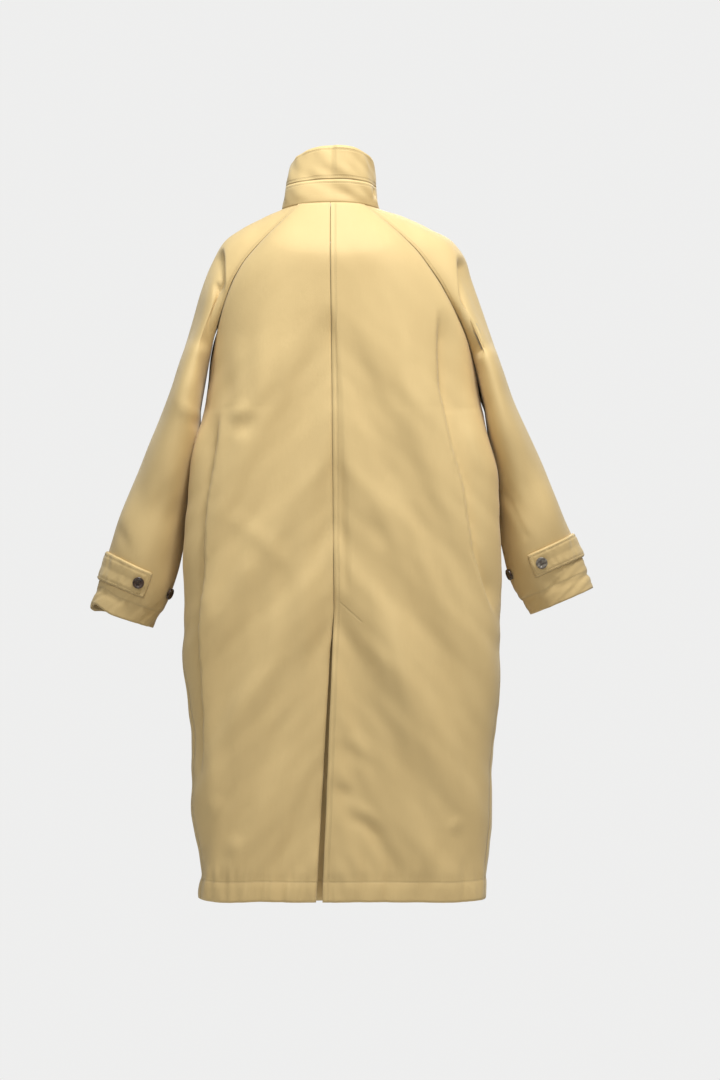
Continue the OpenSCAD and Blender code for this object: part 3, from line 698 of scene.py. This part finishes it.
def near(finish, value, width):
    """1 on a line and 0 a width away from it."""
    return finish.maths("MAXIMUM", 1 - finish.maths("ABSOLUTE", value) / width, 0.0)


PITCH = 0.0034


def stitching(finish, offsets):
    """Grooves and raised thread of the lines of stitches, and a mask of the thread."""
    groove, thread = None, None
    for name, offset in offsets:
        distance, along = finish.attribute(name)
        off = distance - offset
        dash = finish.maths("MULTIPLY_ADD", finish.maths("SINE", along * (2 * math.pi / PITCH)), 2.0, 0.9)
        dash = finish.maths("MINIMUM", finish.maths("MAXIMUM", dash, 0.0), 1.0)
        line = near(finish, off, 0.0024)
        stitch = near(finish, off, 0.0008) * dash
        groove = line if groove is None else finish.maths("MAXIMUM", groove, line)
        thread = stitch if thread is None else finish.maths("MAXIMUM", thread, stitch)
    return groove, thread


def cloth_finish(name, light, dark, offsets, roughness=0.62, sheen=0.25):
    """Tightly woven twill: a fine diagonal, slubs, soft mottling and lines of stitches, with painted shade
    along the stitch grooves.
    """
    f = Finish(name, **{"Sheen Weight": sheen, "Sheen Roughness": 0.45, "Sheen Tint": (1, 0.95, 0.82, 1),
                        "Specular IOR Level": 0.28})
    across, down = f.attribute("Weave")
    diagonal = f.maths("SINE", (across * 0.8 + down) * (2 * math.pi / 0.0011))
    combined = f.node("ShaderNodeCombineXYZ", sockets={0: across * 900, 1: down * 26, 2: 0.0})
    slub = f.noise(1.0, 2.0, combined.outputs[0])
    mottle = f.noise(9.0, 4.0)
    cloud = f.noise(2.6, 2.0)
    groove, thread = stitching(f, offsets)
    tone = f.maths("MULTIPLY_ADD", mottle, 0.55, cloud * 0.5)
    tone = f.maths("MINIMUM", f.maths("MAXIMUM", (tone - 0.36) * 2.2 + (slub - 0.5) * 0.35, 0.0), 1.0)
    colour = f.blend(tone.socket, dark, light)
    # painted shade: the colour darkens in the stitch grooves, where shade would fall
    shade = f.blend((groove * 0.26).socket, colour, tuple(c * 0.55 for c in dark))
    shade = f.blend((thread * 0.75).socket, shade, tuple(min(1, c * 1.12) for c in light))
    f.drive(Base_Color=shade, Roughness=roughness + (mottle - 0.5) * 0.16 - thread * 0.08)
    height = thread * 0.5 - groove * 0.5 + diagonal * 0.03 + slub * 0.09 + f.noise(160.0, 2.0) * 0.12
    f.drive(Normal=f.bump(height))
    return f.material


def plain_finish(name, light, dark, roughness, scale=40.0, grain=0.1, **constants):
    f = Finish(name, **constants)
    mottle = f.noise(scale, 4.0)
    f.drive(Base_Color=f.blend(mottle.socket, dark, light), Roughness=roughness + (mottle - 0.5) * 0.2)
    f.drive(Normal=f.bump(f.noise(scale * 14, 3.0) * grain))
    return f.material


def horn_finish(name, light, dark, roughness):
    """Polished horn: streaks in two browns under a clear shine."""
    f = Finish(name, **{"Specular IOR Level": 0.5, "Coat Roughness": 0.12})
    streak = f.node("ShaderNodeTexWave", {"wave_type": "BANDS", "bands_direction": "DIAGONAL"},
                    {"Scale": 60.0, "Distortion": 9.0, "Detail": 3.0, "Vector": f.place()})
    cloud = f.noise(140.0, 3.0)
    f.drive(Base_Color=f.blend((Value(f, streak.outputs[1]) * 0.6 + cloud * 0.4).socket, dark, light),
            Roughness=roughness + cloud * 0.12, Coat_Weight=0.25 + cloud * 0.3)
    f.drive(Normal=f.bump(cloud * 0.05 + f.noise(900.0, 2.0) * 0.02))
    return f.material


LIGHT_CLOTH = (0.66, 0.485, 0.225)
DARK_CLOTH = (0.59, 0.425, 0.19)
body_cloth = cloth_finish("coat_twill", LIGHT_CLOTH, DARK_CLOTH,
                          [("Seam", 0.0075), ("Rim", 0.003), ("Hem", 0.032), ("Tack", 0.0)])
sleeve_cloth = cloth_finish("sleeve_twill", LIGHT_CLOTH, DARK_CLOTH,
                            [("Seam", 0.004), ("Rim", 0.003), ("Hem", 0.030)])
collar_cloth = cloth_finish("collar_twill", LIGHT_CLOTH, DARK_CLOTH,
                            [("Seam", 0.005), ("Rim", 0.005), ("Hem", 0.005)])
# painted shade: the coat's twill darkened to 0.85 for the facings, bands and vent strip that sit inside the
# coat
facing_cloth_painted_shade = cloth_finish("facing_twill_painted_shade", (0.56, 0.41, 0.2), (0.5, 0.36, 0.165),
                            [("Seam", 0.005), ("Rim", 0.005)])
lining_cloth = plain_finish("lining_satin", (0.36, 0.28, 0.17), (0.3, 0.23, 0.13), 0.35, 12.0, 0.03,
                            **{"Sheen Weight": 0.3})
loop_tape = plain_finish("loop_tape", (0.42, 0.31, 0.17), (0.34, 0.25, 0.13), 0.7, 300.0, 0.25)
thread_wool = plain_finish("button_thread", (0.1, 0.07, 0.045), (0.06, 0.04, 0.028), 0.8, 900.0, 0.2)
dark_horn = horn_finish("horn_dark", (0.085, 0.05, 0.033), (0.016, 0.009, 0.007), 0.22)
grey_horn = horn_finish("horn_grey", (0.3, 0.27, 0.22), (0.07, 0.055, 0.045), 0.2)


def dress(piece, material):
    piece.data.materials.clear()
    piece.data.materials.append(material)
    return piece


def hang(piece):
    """Reads the size of a piece's cut, and returns the piece."""
    width, length, area = piece["flat"]
    width, length = max(width, 0.012), max(length, 0.012)
    return piece


def metres(*point):
    return tuple(c * 0.001 for c in point)


def beside(line, out, reach):
    """Start and end of the cloth's turn at a fold: on the line, and a way out from it."""
    (x0, z0), (x1, z1) = line
    way = np.array([x1 - x0, z1 - z0], float)
    way /= np.linalg.norm(way)
    normal = np.array([-way[1], way[0]])
    normal *= np.sign(normal[0]) * out
    return metres(x0, 0, z0), metres(x0 + normal[0] * reach, 0, z0 + normal[1] * reach)


VENT_LINE = ((0, -VENT_TOP), (-120, -1112))
SKIRT_LINE = ((-LAP, -SLIT_TOP), (130, -1112))
UNDER_LINE = ((LAP, -UNDER_SLIT_TOP), (-100, -1112))
TURN = 46


def fold_blend(piece, line, out):
    start, end = beside(line, out, TURN)
    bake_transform(piece)


# The body's outer cloth.
back_left = shell(LEFT, True, "shell_back_left", stitched=("rim", "hem"))
dress(back_left, body_cloth)
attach(back_left, "torso")
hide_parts("back_panel_left")
VENT_TACK = [(-6, -634), (-26, -652), (-48, -670)]
back_right = shell(RIGHT, True, "shell_back_right", columns=66, tack=VENT_TACK)
dress(back_right, body_cloth)
fold_blend(back_right, VENT_LINE, 1)
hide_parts("back_panel_right", "vent_flap")
front_left = shell(LEFT, False, "shell_front_left", columns=60, pitch=5.2)
dress(front_left, body_cloth)
fold_blend(front_left, SKIRT_LINE, -1)
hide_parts("front_panel_left", "front_flap_left")
front_right = shell(RIGHT, False, "shell_front_right", columns=60, pitch=5.2)
dress(front_right, body_cloth)
fold_blend(front_right, UNDER_LINE, 1)
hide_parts("front_panel_right", "front_flap_right")

underlap = strip(LEFT, True, "vent_underlap_sheet", VENT_TOP + 2, HEM - 1, [[0, -60], [HEM, -60]],
                 [[0, 40], [HEM, 40]],
                 UNDER + 12, FACING, 26, 7.0, stitched=("seam", "hem"))
dress(underlap, body_cloth)
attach(underlap, "torso")
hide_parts("vent_underlap")
vent_edge = strip(RIGHT, True, "vent_facing_strip", VENT_TOP + 30, HEM - 2, [[VENT_TOP, -0.5], [HEM, -17]],
                  [[VENT_TOP, 3], [HEM, 110]], INNER, FACING, 22, 7.0)
dress(vent_edge, facing_cloth_painted_shade)
fold_blend(vent_edge, VENT_LINE, 1)
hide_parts("vent_facing")

body_sheets = [back_left, back_right, front_left, front_right]
for piece in body_sheets:
    hang(piece)
hang(underlap)
hang(vent_edge)

# Facings, linings and the turned-up hem, inside.
FACING_EDGE = [[8, -34], [HEM, -34]]
for side, label, line, out in ((LEFT, "left", SKIRT_LINE, -1), (RIGHT, "right", UNDER_LINE, 1)):
    lapped = lap_depth if side == RIGHT else None
    facing = strip(side, False, f"front_edge_facing_{label}", 8, HEM - HEM_BAND - 1, FACING_EDGE,
                   [[8, 20], [60, 70], [HEM, 76]], INNER, FACING, 18, 9.0, lapped=lapped)
    dress(facing, facing_cloth_painted_shade)
    fold_blend(facing, line, out)
    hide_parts(f"front_facing_{label}", f"flap_facing_{label}")
    hang(facing)

    inner_edge = lambda levels: edge(levels, [[8, 21], [60, 71], [HEM, 77]])
    lining = shell(side, False, f"front_lining_sheet_{label}", 30, 11.0, INNER + 3, 12,
                   HEM - HEM_BAND - 1, LINING,
                   inner=inner_edge, stitched=())
    dress(lining, lining_cloth)
    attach(lining, "torso")
    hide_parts(f"front_lining_{label}")
    hang(lining)

    lining_edge = lambda levels, side=side: np.where(
        levels < VENT_TOP, SEAM, edge(levels, [[VENT_TOP, 0], [VENT_TOP + 8, 46], [HEM, 46]] if side == LEFT
                                      else [[VENT_TOP, 6], [HEM, 120]]))
    lining = shell(side, True, f"back_lining_sheet_{label}", 32, 11.0, INNER + 3, 64,
                   HEM - HEM_BAND - 1, LINING,
                   inner=lining_edge, stitched=())
    dress(lining, lining_cloth)
    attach(lining, "torso")
    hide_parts(f"back_lining_{label}")
    hang(lining)

    band_edge = lambda levels, side=side: edge(levels, [[HEM - 60, 46], [HEM, 46]] if side == LEFT
                                               else [[HEM - 60, 120], [HEM, 122]])
    band = shell(side, True, f"hem_band_back_{label}", 32, 8.0, INNER, HEM - HEM_BAND, HEM - 1, FACING,
                 inner=band_edge, stitched=())
    dress(band, facing_cloth_painted_shade)
    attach(band, "torso")
    front_edge = lambda levels, side=side: edge(levels, [[HEM - 60, 128], [HEM, 136]] if side == LEFT
                                                else [[HEM - 60, 98], [HEM, 106]])
    front_band = shell(side, False, f"hem_band_front_{label}", 30, 8.0, INNER, HEM - HEM_BAND, HEM - 1,
                       FACING,
                       inner=front_edge, stitched=())
    dress(front_band, facing_cloth_painted_shade)
    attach(front_band, "torso")
    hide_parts(f"hem_facing_{label}")
    hang(band)
    hang(front_band)

    neck = strip(side, True, f"neck_facing_{label}", 4, 62, [[0, SEAM], [70, SEAM]],
                 [[0, 44], [62, 66]], INNER + 3, FACING,
                 14, 8.0, stitched=("hem",))
    dress(neck, facing_cloth_painted_shade)
    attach(neck, "torso")
    if side == LEFT:
        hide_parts("back_neck_facing")
    hang(neck)

    # Sleeves.
    lean = math.radians(21)
    pivot = np.array([266.8, -295.8])
    way = np.array([math.sin(lean), -math.cos(lean)])
    start, end = pivot + way * 14, pivot + way * 104
    turn = dict(start=metres(start[0] * side, 0, start[1]), end=metres(end[0] * side, 0, end[1]))
    half_sleeves = (("back", 0, 1, 48), ("front", -1, 0, 40))
    for part, first, last, columns in half_sleeves:
        piece = sleeve_piece(f"sleeve_shell_{part}_{label}", side, first, last, 0.02, 2, 190, columns, 0,
                             CLOTH,
                             ("seam", "rim", "hem"))
        dress(piece, sleeve_cloth)
        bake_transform(piece)
        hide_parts(f"raglan_{part}_{label}", f"sleeve_{part}_{label}")
        hang(piece)
    piece = sleeve_piece(f"sleeve_lining_tube_{label}", side, -1, 1, 0.06, 1.89, 90, 44, INNER + 2,
                         LINING, (), 1.0)
    dress(piece, lining_cloth)
    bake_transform(piece)
    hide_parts(f"raglan_lining_{label}", f"sleeve_lining_{label}")
    hang(piece)
    piece = sleeve_piece(f"cuff_band_{label}", side, -1, 1, 1.893, 1.997, 10, 60, INNER, FACING, (), 0.5)
    dress(piece, facing_cloth_painted_shade)
    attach(piece, f"sleeve_{label}")
    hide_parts(f"cuff_facing_{label}")
    hang(piece)

# Collar, turned up: a stand and two leaves that part at the top edge.
def collar_grid(low, high, depth, rise=0.0, around=150, up=16, inset=0.0):
    """Points of a collar layer: rows go round the neck, columns go up from one height to another."""
    angle = np.linspace(inset - 86, 266 - inset, around)[:, None]
    u = np.linspace(0, 1, up)[None, :]
    own = np.where(angle <= 90, angle, 180 - angle)
    feet = [ring(own, np.zeros_like(own), hand) for hand in (LEFT, RIGHT)]
    foot = np.where((angle <= 90)[..., None], *feet)
    s = np.sin(np.radians(own))
    top = 70 + np.where(s > 0, 19.5 * np.abs(s) ** 0.6, -2 * np.abs(s)) + rise
    height = mix(low, top if high is None else high, u)
    centre = unit(np.stack([-foot[..., 0] / 78**2, -foot[..., 1] / 72**2, 0 * foot[..., 0]], -1))
    lean_in = np.where(foot[..., 0] > 0, 15.0, 9.0) * np.maximum(height / 70, 0) ** 1.3
    dent = 8 * np.exp(-((angle - 156) / 8) ** 2) * np.exp(-((height - 20 - (angle - 152) * 0.6) / 7) ** 2)
    soft = ripple(angle * 1.3 + 40, height * 2.2 + 0 * angle, BROAD) * 1.9
    soft = soft + ripple(angle * 1.3, height * 2, FINE) * 0.7
    roll = 0.5 * np.exp(-((height - STAND) / 7) ** 2)
    inward = lean_in + depth + dent - soft * smooth(height / 14) + roll
    points = foot + centre * inward[..., None]
    points[..., 2] += height
    return points


def collar_piece(name, points, thickness, material, stitched=("seam", "rim", "hem"), body="torso"):
    normals = grid_normals(points)
    out = np.sign((normals * (points * [1, 1, 0])).sum(-1).mean())
    piece = cloth_piece(name, points, thickness, stitched, turned=out < 0)
    dress(piece, material)
    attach(piece, body)
    return hang(piece)


stand = collar_piece("collar_stand_band", collar_grid(-2, STAND, -0.1, up=10), CLOTH, collar_cloth,
                     ("rim",))
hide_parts("collar_stand")
under_leaf = collar_piece("collar_under_leaf", collar_grid(STAND + 0.25, None, 0, up=18), 1.3,
                          collar_cloth)
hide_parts("under_collar")
top_leaf = collar_piece("collar_top_leaf", collar_grid(STAND + 0.6, None, 3.2, rise=1.6, up=18), 1.3,
                        collar_cloth)
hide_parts("collar_fall", "collar_interlining")

# Hanger loop: a tape that hangs from the neck seam in a shallow bow.
turns = np.linspace(0, np.pi, 40)[:, None]
tape = np.linspace(-2.6, 2.6, 6)[None, :]
bow = np.stack([24 * np.cos(turns) + 0 * tape, 68 - 2.5 * np.sin(turns) + 0 * tape,
                -8 - 17 * np.sin(turns) ** 0.8 + tape], -1)
loop = cloth_piece("hanger_loop_tape", bow, 1.3, (), turned=True)
dress(loop, loop_tape)
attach(loop, "loop")
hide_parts("hanger_loop")
hang(loop)

# Pockets: a welt on the outside and a pouch behind it.
WELT_TOP, WELT_LENGTH, WELT_X, WELT_WIDTH, WELT_SLANT = 530, 165, 112, 34, 32
for side, label in ((LEFT, "left"), (RIGHT, "right")):
    ends = [[WELT_TOP, WELT_X], [WELT_TOP + WELT_LENGTH, WELT_X + WELT_SLANT]]
    far_ends = [[level, x + WELT_WIDTH] for level, x in ends]
    welt = strip(side, False, f"pocket_welt_band_{label}", WELT_TOP, WELT_TOP + WELT_LENGTH, ends, far_ends,
                 -CLOTH - 0.9, CLOTH, 14, 4.0, ("seam", "rim"))
    dress(welt, collar_cloth)
    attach(welt, "torso")
    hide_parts(f"pocket_welt_{label}")
    hang(welt)
    pouch = strip(side, False, f"pocket_pouch_{label}", WELT_TOP - 14, WELT_TOP + 250,
                  [[516, 84], [780, 106]],
                  [[516, 182], [780, 204]], INNER + 6, 1.0, 18, 12.0, ())
    dress(pouch, lining_cloth)
    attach(pouch, "torso")
    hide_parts(f"pocket_bag_{label}")
    hang(pouch)

# Cuff tabs: padded straps with a rolled rim.
TAB_SHARE = {LEFT: 1.80, RIGHT: 1.755}
TAB_START, TAB_WRAP = -8, 119
TAB_LENGTH, TAB_ROWS, TAB_FOLD_ROW = 108, 90, 16
# Length of sleeve, in mm, that one unit of share covers near the cuff.
SHARE_LENGTH = 362
SPARE_ANGLE = 157


def cuff_frame(side, angle, share, lift):
    """A point above the sleeve's cloth, its outward direction and the way down the sleeve."""
    near_angles = np.array([[angle - 2.0, angle, angle + 2.0]] * 3)
    near_shares = np.array([[share - 0.01] * 3, [share] * 3, [share + 0.01] * 3])
    points = sleeve(near_angles, near_shares, side)
    normals = grid_normals(points)
    middle = points[1, 1]
    out = normals[1, 1]
    axis = sleeve(np.array([0.0, 180.0]), np.array([share, share]), side).mean(axis=0)
    out = out * np.sign(np.dot(out, middle - axis))
    rise = sleeve_relief(points, near_shares, near_angles / 180)[1, 1]
    return middle + out * (rise + lift), out, unit(points[2, 1] - points[0, 1])


for side, label in ((LEFT, "left"), (RIGHT, "right")):
    reach = np.linspace(0, 1, TAB_ROWS)[:, None]
    angle = mix(TAB_START, TAB_START + TAB_WRAP, reach)
    v = np.linspace(-1, 1, 30)[None, :]
    half = TAB_WIDTH / 2 / SHARE_LENGTH
    corner = np.sqrt(np.maximum(0, 1 - np.maximum(0, (reach - 0.955) / 0.045) ** 2 * 0.16))
    share = TAB_SHARE[side] + half * v * corner
    grid_angle = np.broadcast_to(angle, share.shape)
    points = sleeve(grid_angle, share, side)
    normals = grid_normals(points)
    axis = points.mean(axis=(0, 1)) * [1, 0, 1]
    out = np.sign((normals * (points - axis)).sum(-1).mean())
    rim = np.minimum((1 - np.abs(v)) * TAB_WIDTH / 2, (1 - reach) * TAB_LENGTH)
    roll = 1.0 * smooth(rim / 5) * smooth((30 - rim) / 20) - 1.9 * (1 - smooth(rim / 2.6))
    seam_dip = -0.8 * np.exp(-((rim - 6.2) / 1.6) ** 2)
    wave = ripple(reach * 110 + 0 * v, v * 22 + 30 * reach, PUCKER) * 0.28
    rise = sleeve_relief(points, share, share * 0 + 0.5) + 3.9 + roll + seam_dip + wave
    tab = cloth_piece(f"cuff_strap_{label}", points + normals * out * rise[..., None], 2.8,
                      ("seam", "rim", "hem"), turned=out < 0)
    dress(tab, collar_cloth)
    # The middles of the strap's sewn end and of its fold row are found, but not used.
    sewn_end = points[0].mean(axis=0)
    fold_end = points[TAB_FOLD_ROW].mean(axis=0)
    metres(*sewn_end)
    metres(*fold_end)
    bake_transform(tab)
    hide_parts(f"cuff_tab_{label}")


# Buttons: a dished disc with a rounded rim and four holes.
def flatten_selection(piece, test):
    bpy.ops.object.mode_set(mode="EDIT")
    bpy.ops.mesh.select_mode(type="FACE")
    bpy.ops.mesh.select_all(action="DESELECT")
    bpy.ops.object.mode_set(mode="OBJECT")
    for face in piece.data.polygons:
        face.select = test(face)
    bpy.ops.object.mode_set(mode="EDIT")


def make_button(name, diameter, thickness):
    deselect()
    bpy.ops.mesh.primitive_cylinder_add(vertices=56, radius=diameter / 2, depth=thickness,
                                        location=(0, 0, thickness / 2))
    button = bpy.context.object
    button.name = name
    bpy.ops.object.transform_apply(location=True)
    flatten_selection(button, lambda face: face.normal.z > 0.9)
    bpy.ops.mesh.inset(thickness=diameter * 0.14, depth=0)
    bpy.ops.mesh.inset(thickness=diameter * 0.07, depth=-thickness * 0.36)
    bpy.ops.object.mode_set(mode="OBJECT")
    modify(button, "BEVEL", width=thickness * 0.26, segments=4, limit_method="ANGLE",
           angle_limit=math.radians(40))
    for turn in (45, 135, 225, 315):
        deselect()
        a = math.radians(turn)
        bpy.ops.mesh.primitive_cylinder_add(vertices=14, radius=diameter * 0.052, depth=thickness * 4,
                                            location=(math.cos(a) * diameter * 0.115,
                                                      math.sin(a) * diameter * 0.115, 0))
        drill = bpy.context.object
        modify(button, "BOOLEAN", operation="DIFFERENCE", object=drill, solver="EXACT")
        bpy.data.objects.remove(drill)
    deselect()
    button.select_set(True)
    bpy.context.view_layer.objects.active = button
    bpy.ops.object.shade_smooth_by_angle(angle=math.radians(35))
    return button


def make_threads(name, diameter, thickness, shank):
    """Two strands over the button's holes and a wound shank under it."""
    parts = []
    for offset in (-0.081, 0.081):
        deselect()
        bpy.ops.mesh.primitive_cylinder_add(vertices=10, radius=diameter * 0.036, depth=diameter * 0.2,
                                            location=(0, offset * diameter, thickness * 0.66),
                                            rotation=(0, math.pi / 2, 0))
        parts.append(bpy.context.object)
        modify(parts[-1], "BEVEL", width=diameter * 0.03, segments=3, limit_method="ANGLE",
               angle_limit=math.radians(40))
    deselect()
    bpy.ops.mesh.primitive_cylinder_add(vertices=18, radius=0.0014, depth=shank,
                                        location=(0, 0, -shank / 2 + 0.0004))
    parts.append(bpy.context.object)
    deselect()
    for part in parts:
        part.select_set(True)
    bpy.context.view_layer.objects.active = parts[0]
    bpy.ops.object.join()
    threads = bpy.context.object
    threads.name = name
    bpy.ops.object.transform_apply(location=True, rotation=True)
    bpy.ops.object.shade_smooth_by_angle(angle=math.radians(50))
    return threads


def put(pattern, name, point, out, up, material, body, turn=0.0):
    """A copy of a pattern piece, laid with its z axis out of the cloth."""
    out, up = Vector(out).normalized(), Vector(up)
    side_way = up.cross(out).normalized()
    up = out.cross(side_way)
    copy = pattern.copy()
    copy.data = pattern.data.copy()
    copy.name = name
    bpy.context.scene.collection.objects.link(copy)
    c, s = math.cos(turn), math.sin(turn)
    x_way, y_way = side_way * c + up * s, up * c - side_way * s
    columns = [(*x_way, 0), (*y_way, 0), (*out, 0), (*[v * 0.001 for v in point], 1)]
    copy.data.transform(Matrix(columns).transposed())
    dress(copy, material)
    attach(copy, body)
    return copy


cuff_button = make_button("cuff_button_pattern", 0.0185, 0.0036)
cuff_threads = make_threads("cuff_threads_pattern", 0.0185, 0.0036, 0.0046)
front_button = make_button("front_button_pattern", 0.0235, 0.0038)
front_threads = make_threads("front_threads_pattern", 0.0235, 0.0038, 0.0052)
for side, label in ((LEFT, "left"), (RIGHT, "right")):
    spots = (("tab", TAB_START + TAB_WRAP - 16, 5.6, grey_horn if side == RIGHT else dark_horn),
             ("spare", SPARE_ANGLE, 1.6, dark_horn))
    for spot, angle, lift, horn in spots:
        point, out, down = cuff_frame(side, angle, TAB_SHARE[side], lift)
        button = put(cuff_button, f"cuff_button_{spot}_{label}", point, out, down, horn,
                     f"sleeve_{label}", 0.4)
        threads = put(cuff_threads, f"cuff_stitches_{spot}_{label}", point, out, down, thread_wool,
                      f"sleeve_{label}", 0.4)
        if spot == "tab":
            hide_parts(f"cuff_buttons_{label}")
            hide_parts(f"cuff_button_threads_{label}")
for i in range(5):
    level = 98 + i * (655 - 98) / 4
    levels = np.array([[level - 4] * 3, [level] * 3, [level + 4] * 3])
    angles = np.array([[-92.0, -90.0, -88.0]] * 3)
    points = ring(angles, levels, LEFT)
    down = unit(points[2, 1] - points[0, 1])
    out = np.array([0, down[2], -down[1]])
    out = out * -np.sign(out[1])
    rise = float(body_relief(points, levels, LEFT)[1, 1])
    point = points[1, 1] + out * (rise + 1.6)
    button = put(front_button, f"front_button_{i + 1}", point, out, down, dark_horn,
                 "torso", 0.3 * i)
    threads = put(front_threads, f"front_stitches_{i + 1}", point, out, down, thread_wool,
                  "torso", 0.3 * i)
    if i == 0:
        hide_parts("front_buttons")
        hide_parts("front_button_threads")
for pattern in (cuff_button, cuff_threads, front_button, front_threads):
    bpy.data.objects.remove(pattern)

# Floor, light and world.
deselect()
bpy.ops.mesh.primitive_cylinder_add(vertices=128, radius=1.3, depth=0.02, location=(0, 0, -1.64))
floor = bpy.context.object
modify(floor, "BEVEL", width=0.006, segments=3, limit_method="ANGLE")
floor.name = "floor"
floor_paint = plain_finish("floor_paint", (0.84, 0.84, 0.83), (0.82, 0.82, 0.81), 0.9, 3.0, 0.0)
floor.data.materials.append(floor_paint)


def area_light(name, place, aim, size, power, colour=(1, 1, 1)):
    data = bpy.data.lights.new(name, "AREA")
    data.shape = "DISK"
    data.size = size
    data.energy = power
    data.color = colour
    lamp = bpy.data.objects.new(name, data)
    lamp.location = place
    lamp.rotation_euler = (Vector(aim) - Vector(place)).to_track_quat("-Z", "Y").to_euler()
    bpy.context.scene.collection.objects.link(lamp)


area_light("high_light", (-0.7, 1.5, 2.3), (0, 0, -0.5), 0.7, 84, (0.98, 0.99, 1.0))
area_light("crown_light", (0.1, 0.4, 1.35), (0, 0.1, -0.4), 0.6, 15, (0.84, 0.93, 1.0))
area_light("back_fill", (0, 3.4, 0.9), (0, 0, -0.5), 1.6, 28, (1, 0.96, 0.91))
area_light("left_light", (2.3, 1.5, 0.9), (0.3, 0, -0.3), 0.9, 17, (0.95, 0.98, 1.0))
area_light("right_light", (-2.3, 1.5, 0.7), (-0.3, 0, -0.4), 0.9, 11, (1.0, 0.97, 0.93))
area_light("front_fill", (-0.8, -3.4, 1.4), (0, 0, -0.4), 1.8, 44, (1, 0.98, 0.95))
world = bpy.data.worlds.new("studio")
bpy.context.scene.world = world
world.use_nodes = True
links, nodes = world.node_tree.links, world.node_tree.nodes
background = nodes["Background"]
path = nodes.new("ShaderNodeLightPath")
shine = nodes.new("ShaderNodeMix")
shine.data_type = "FLOAT"
shine.inputs[2].default_value = 0.2
shine.inputs[3].default_value = 0.858
links.new(path.outputs["Is Camera Ray"], shine.inputs[0])
links.new(shine.outputs[0], background.inputs["Strength"])
background.inputs["Color"].default_value = (1, 1, 0.995, 1)
bpy.context.scene.view_settings.view_transform = "Standard"
bpy.context.scene.view_settings.look = "None"
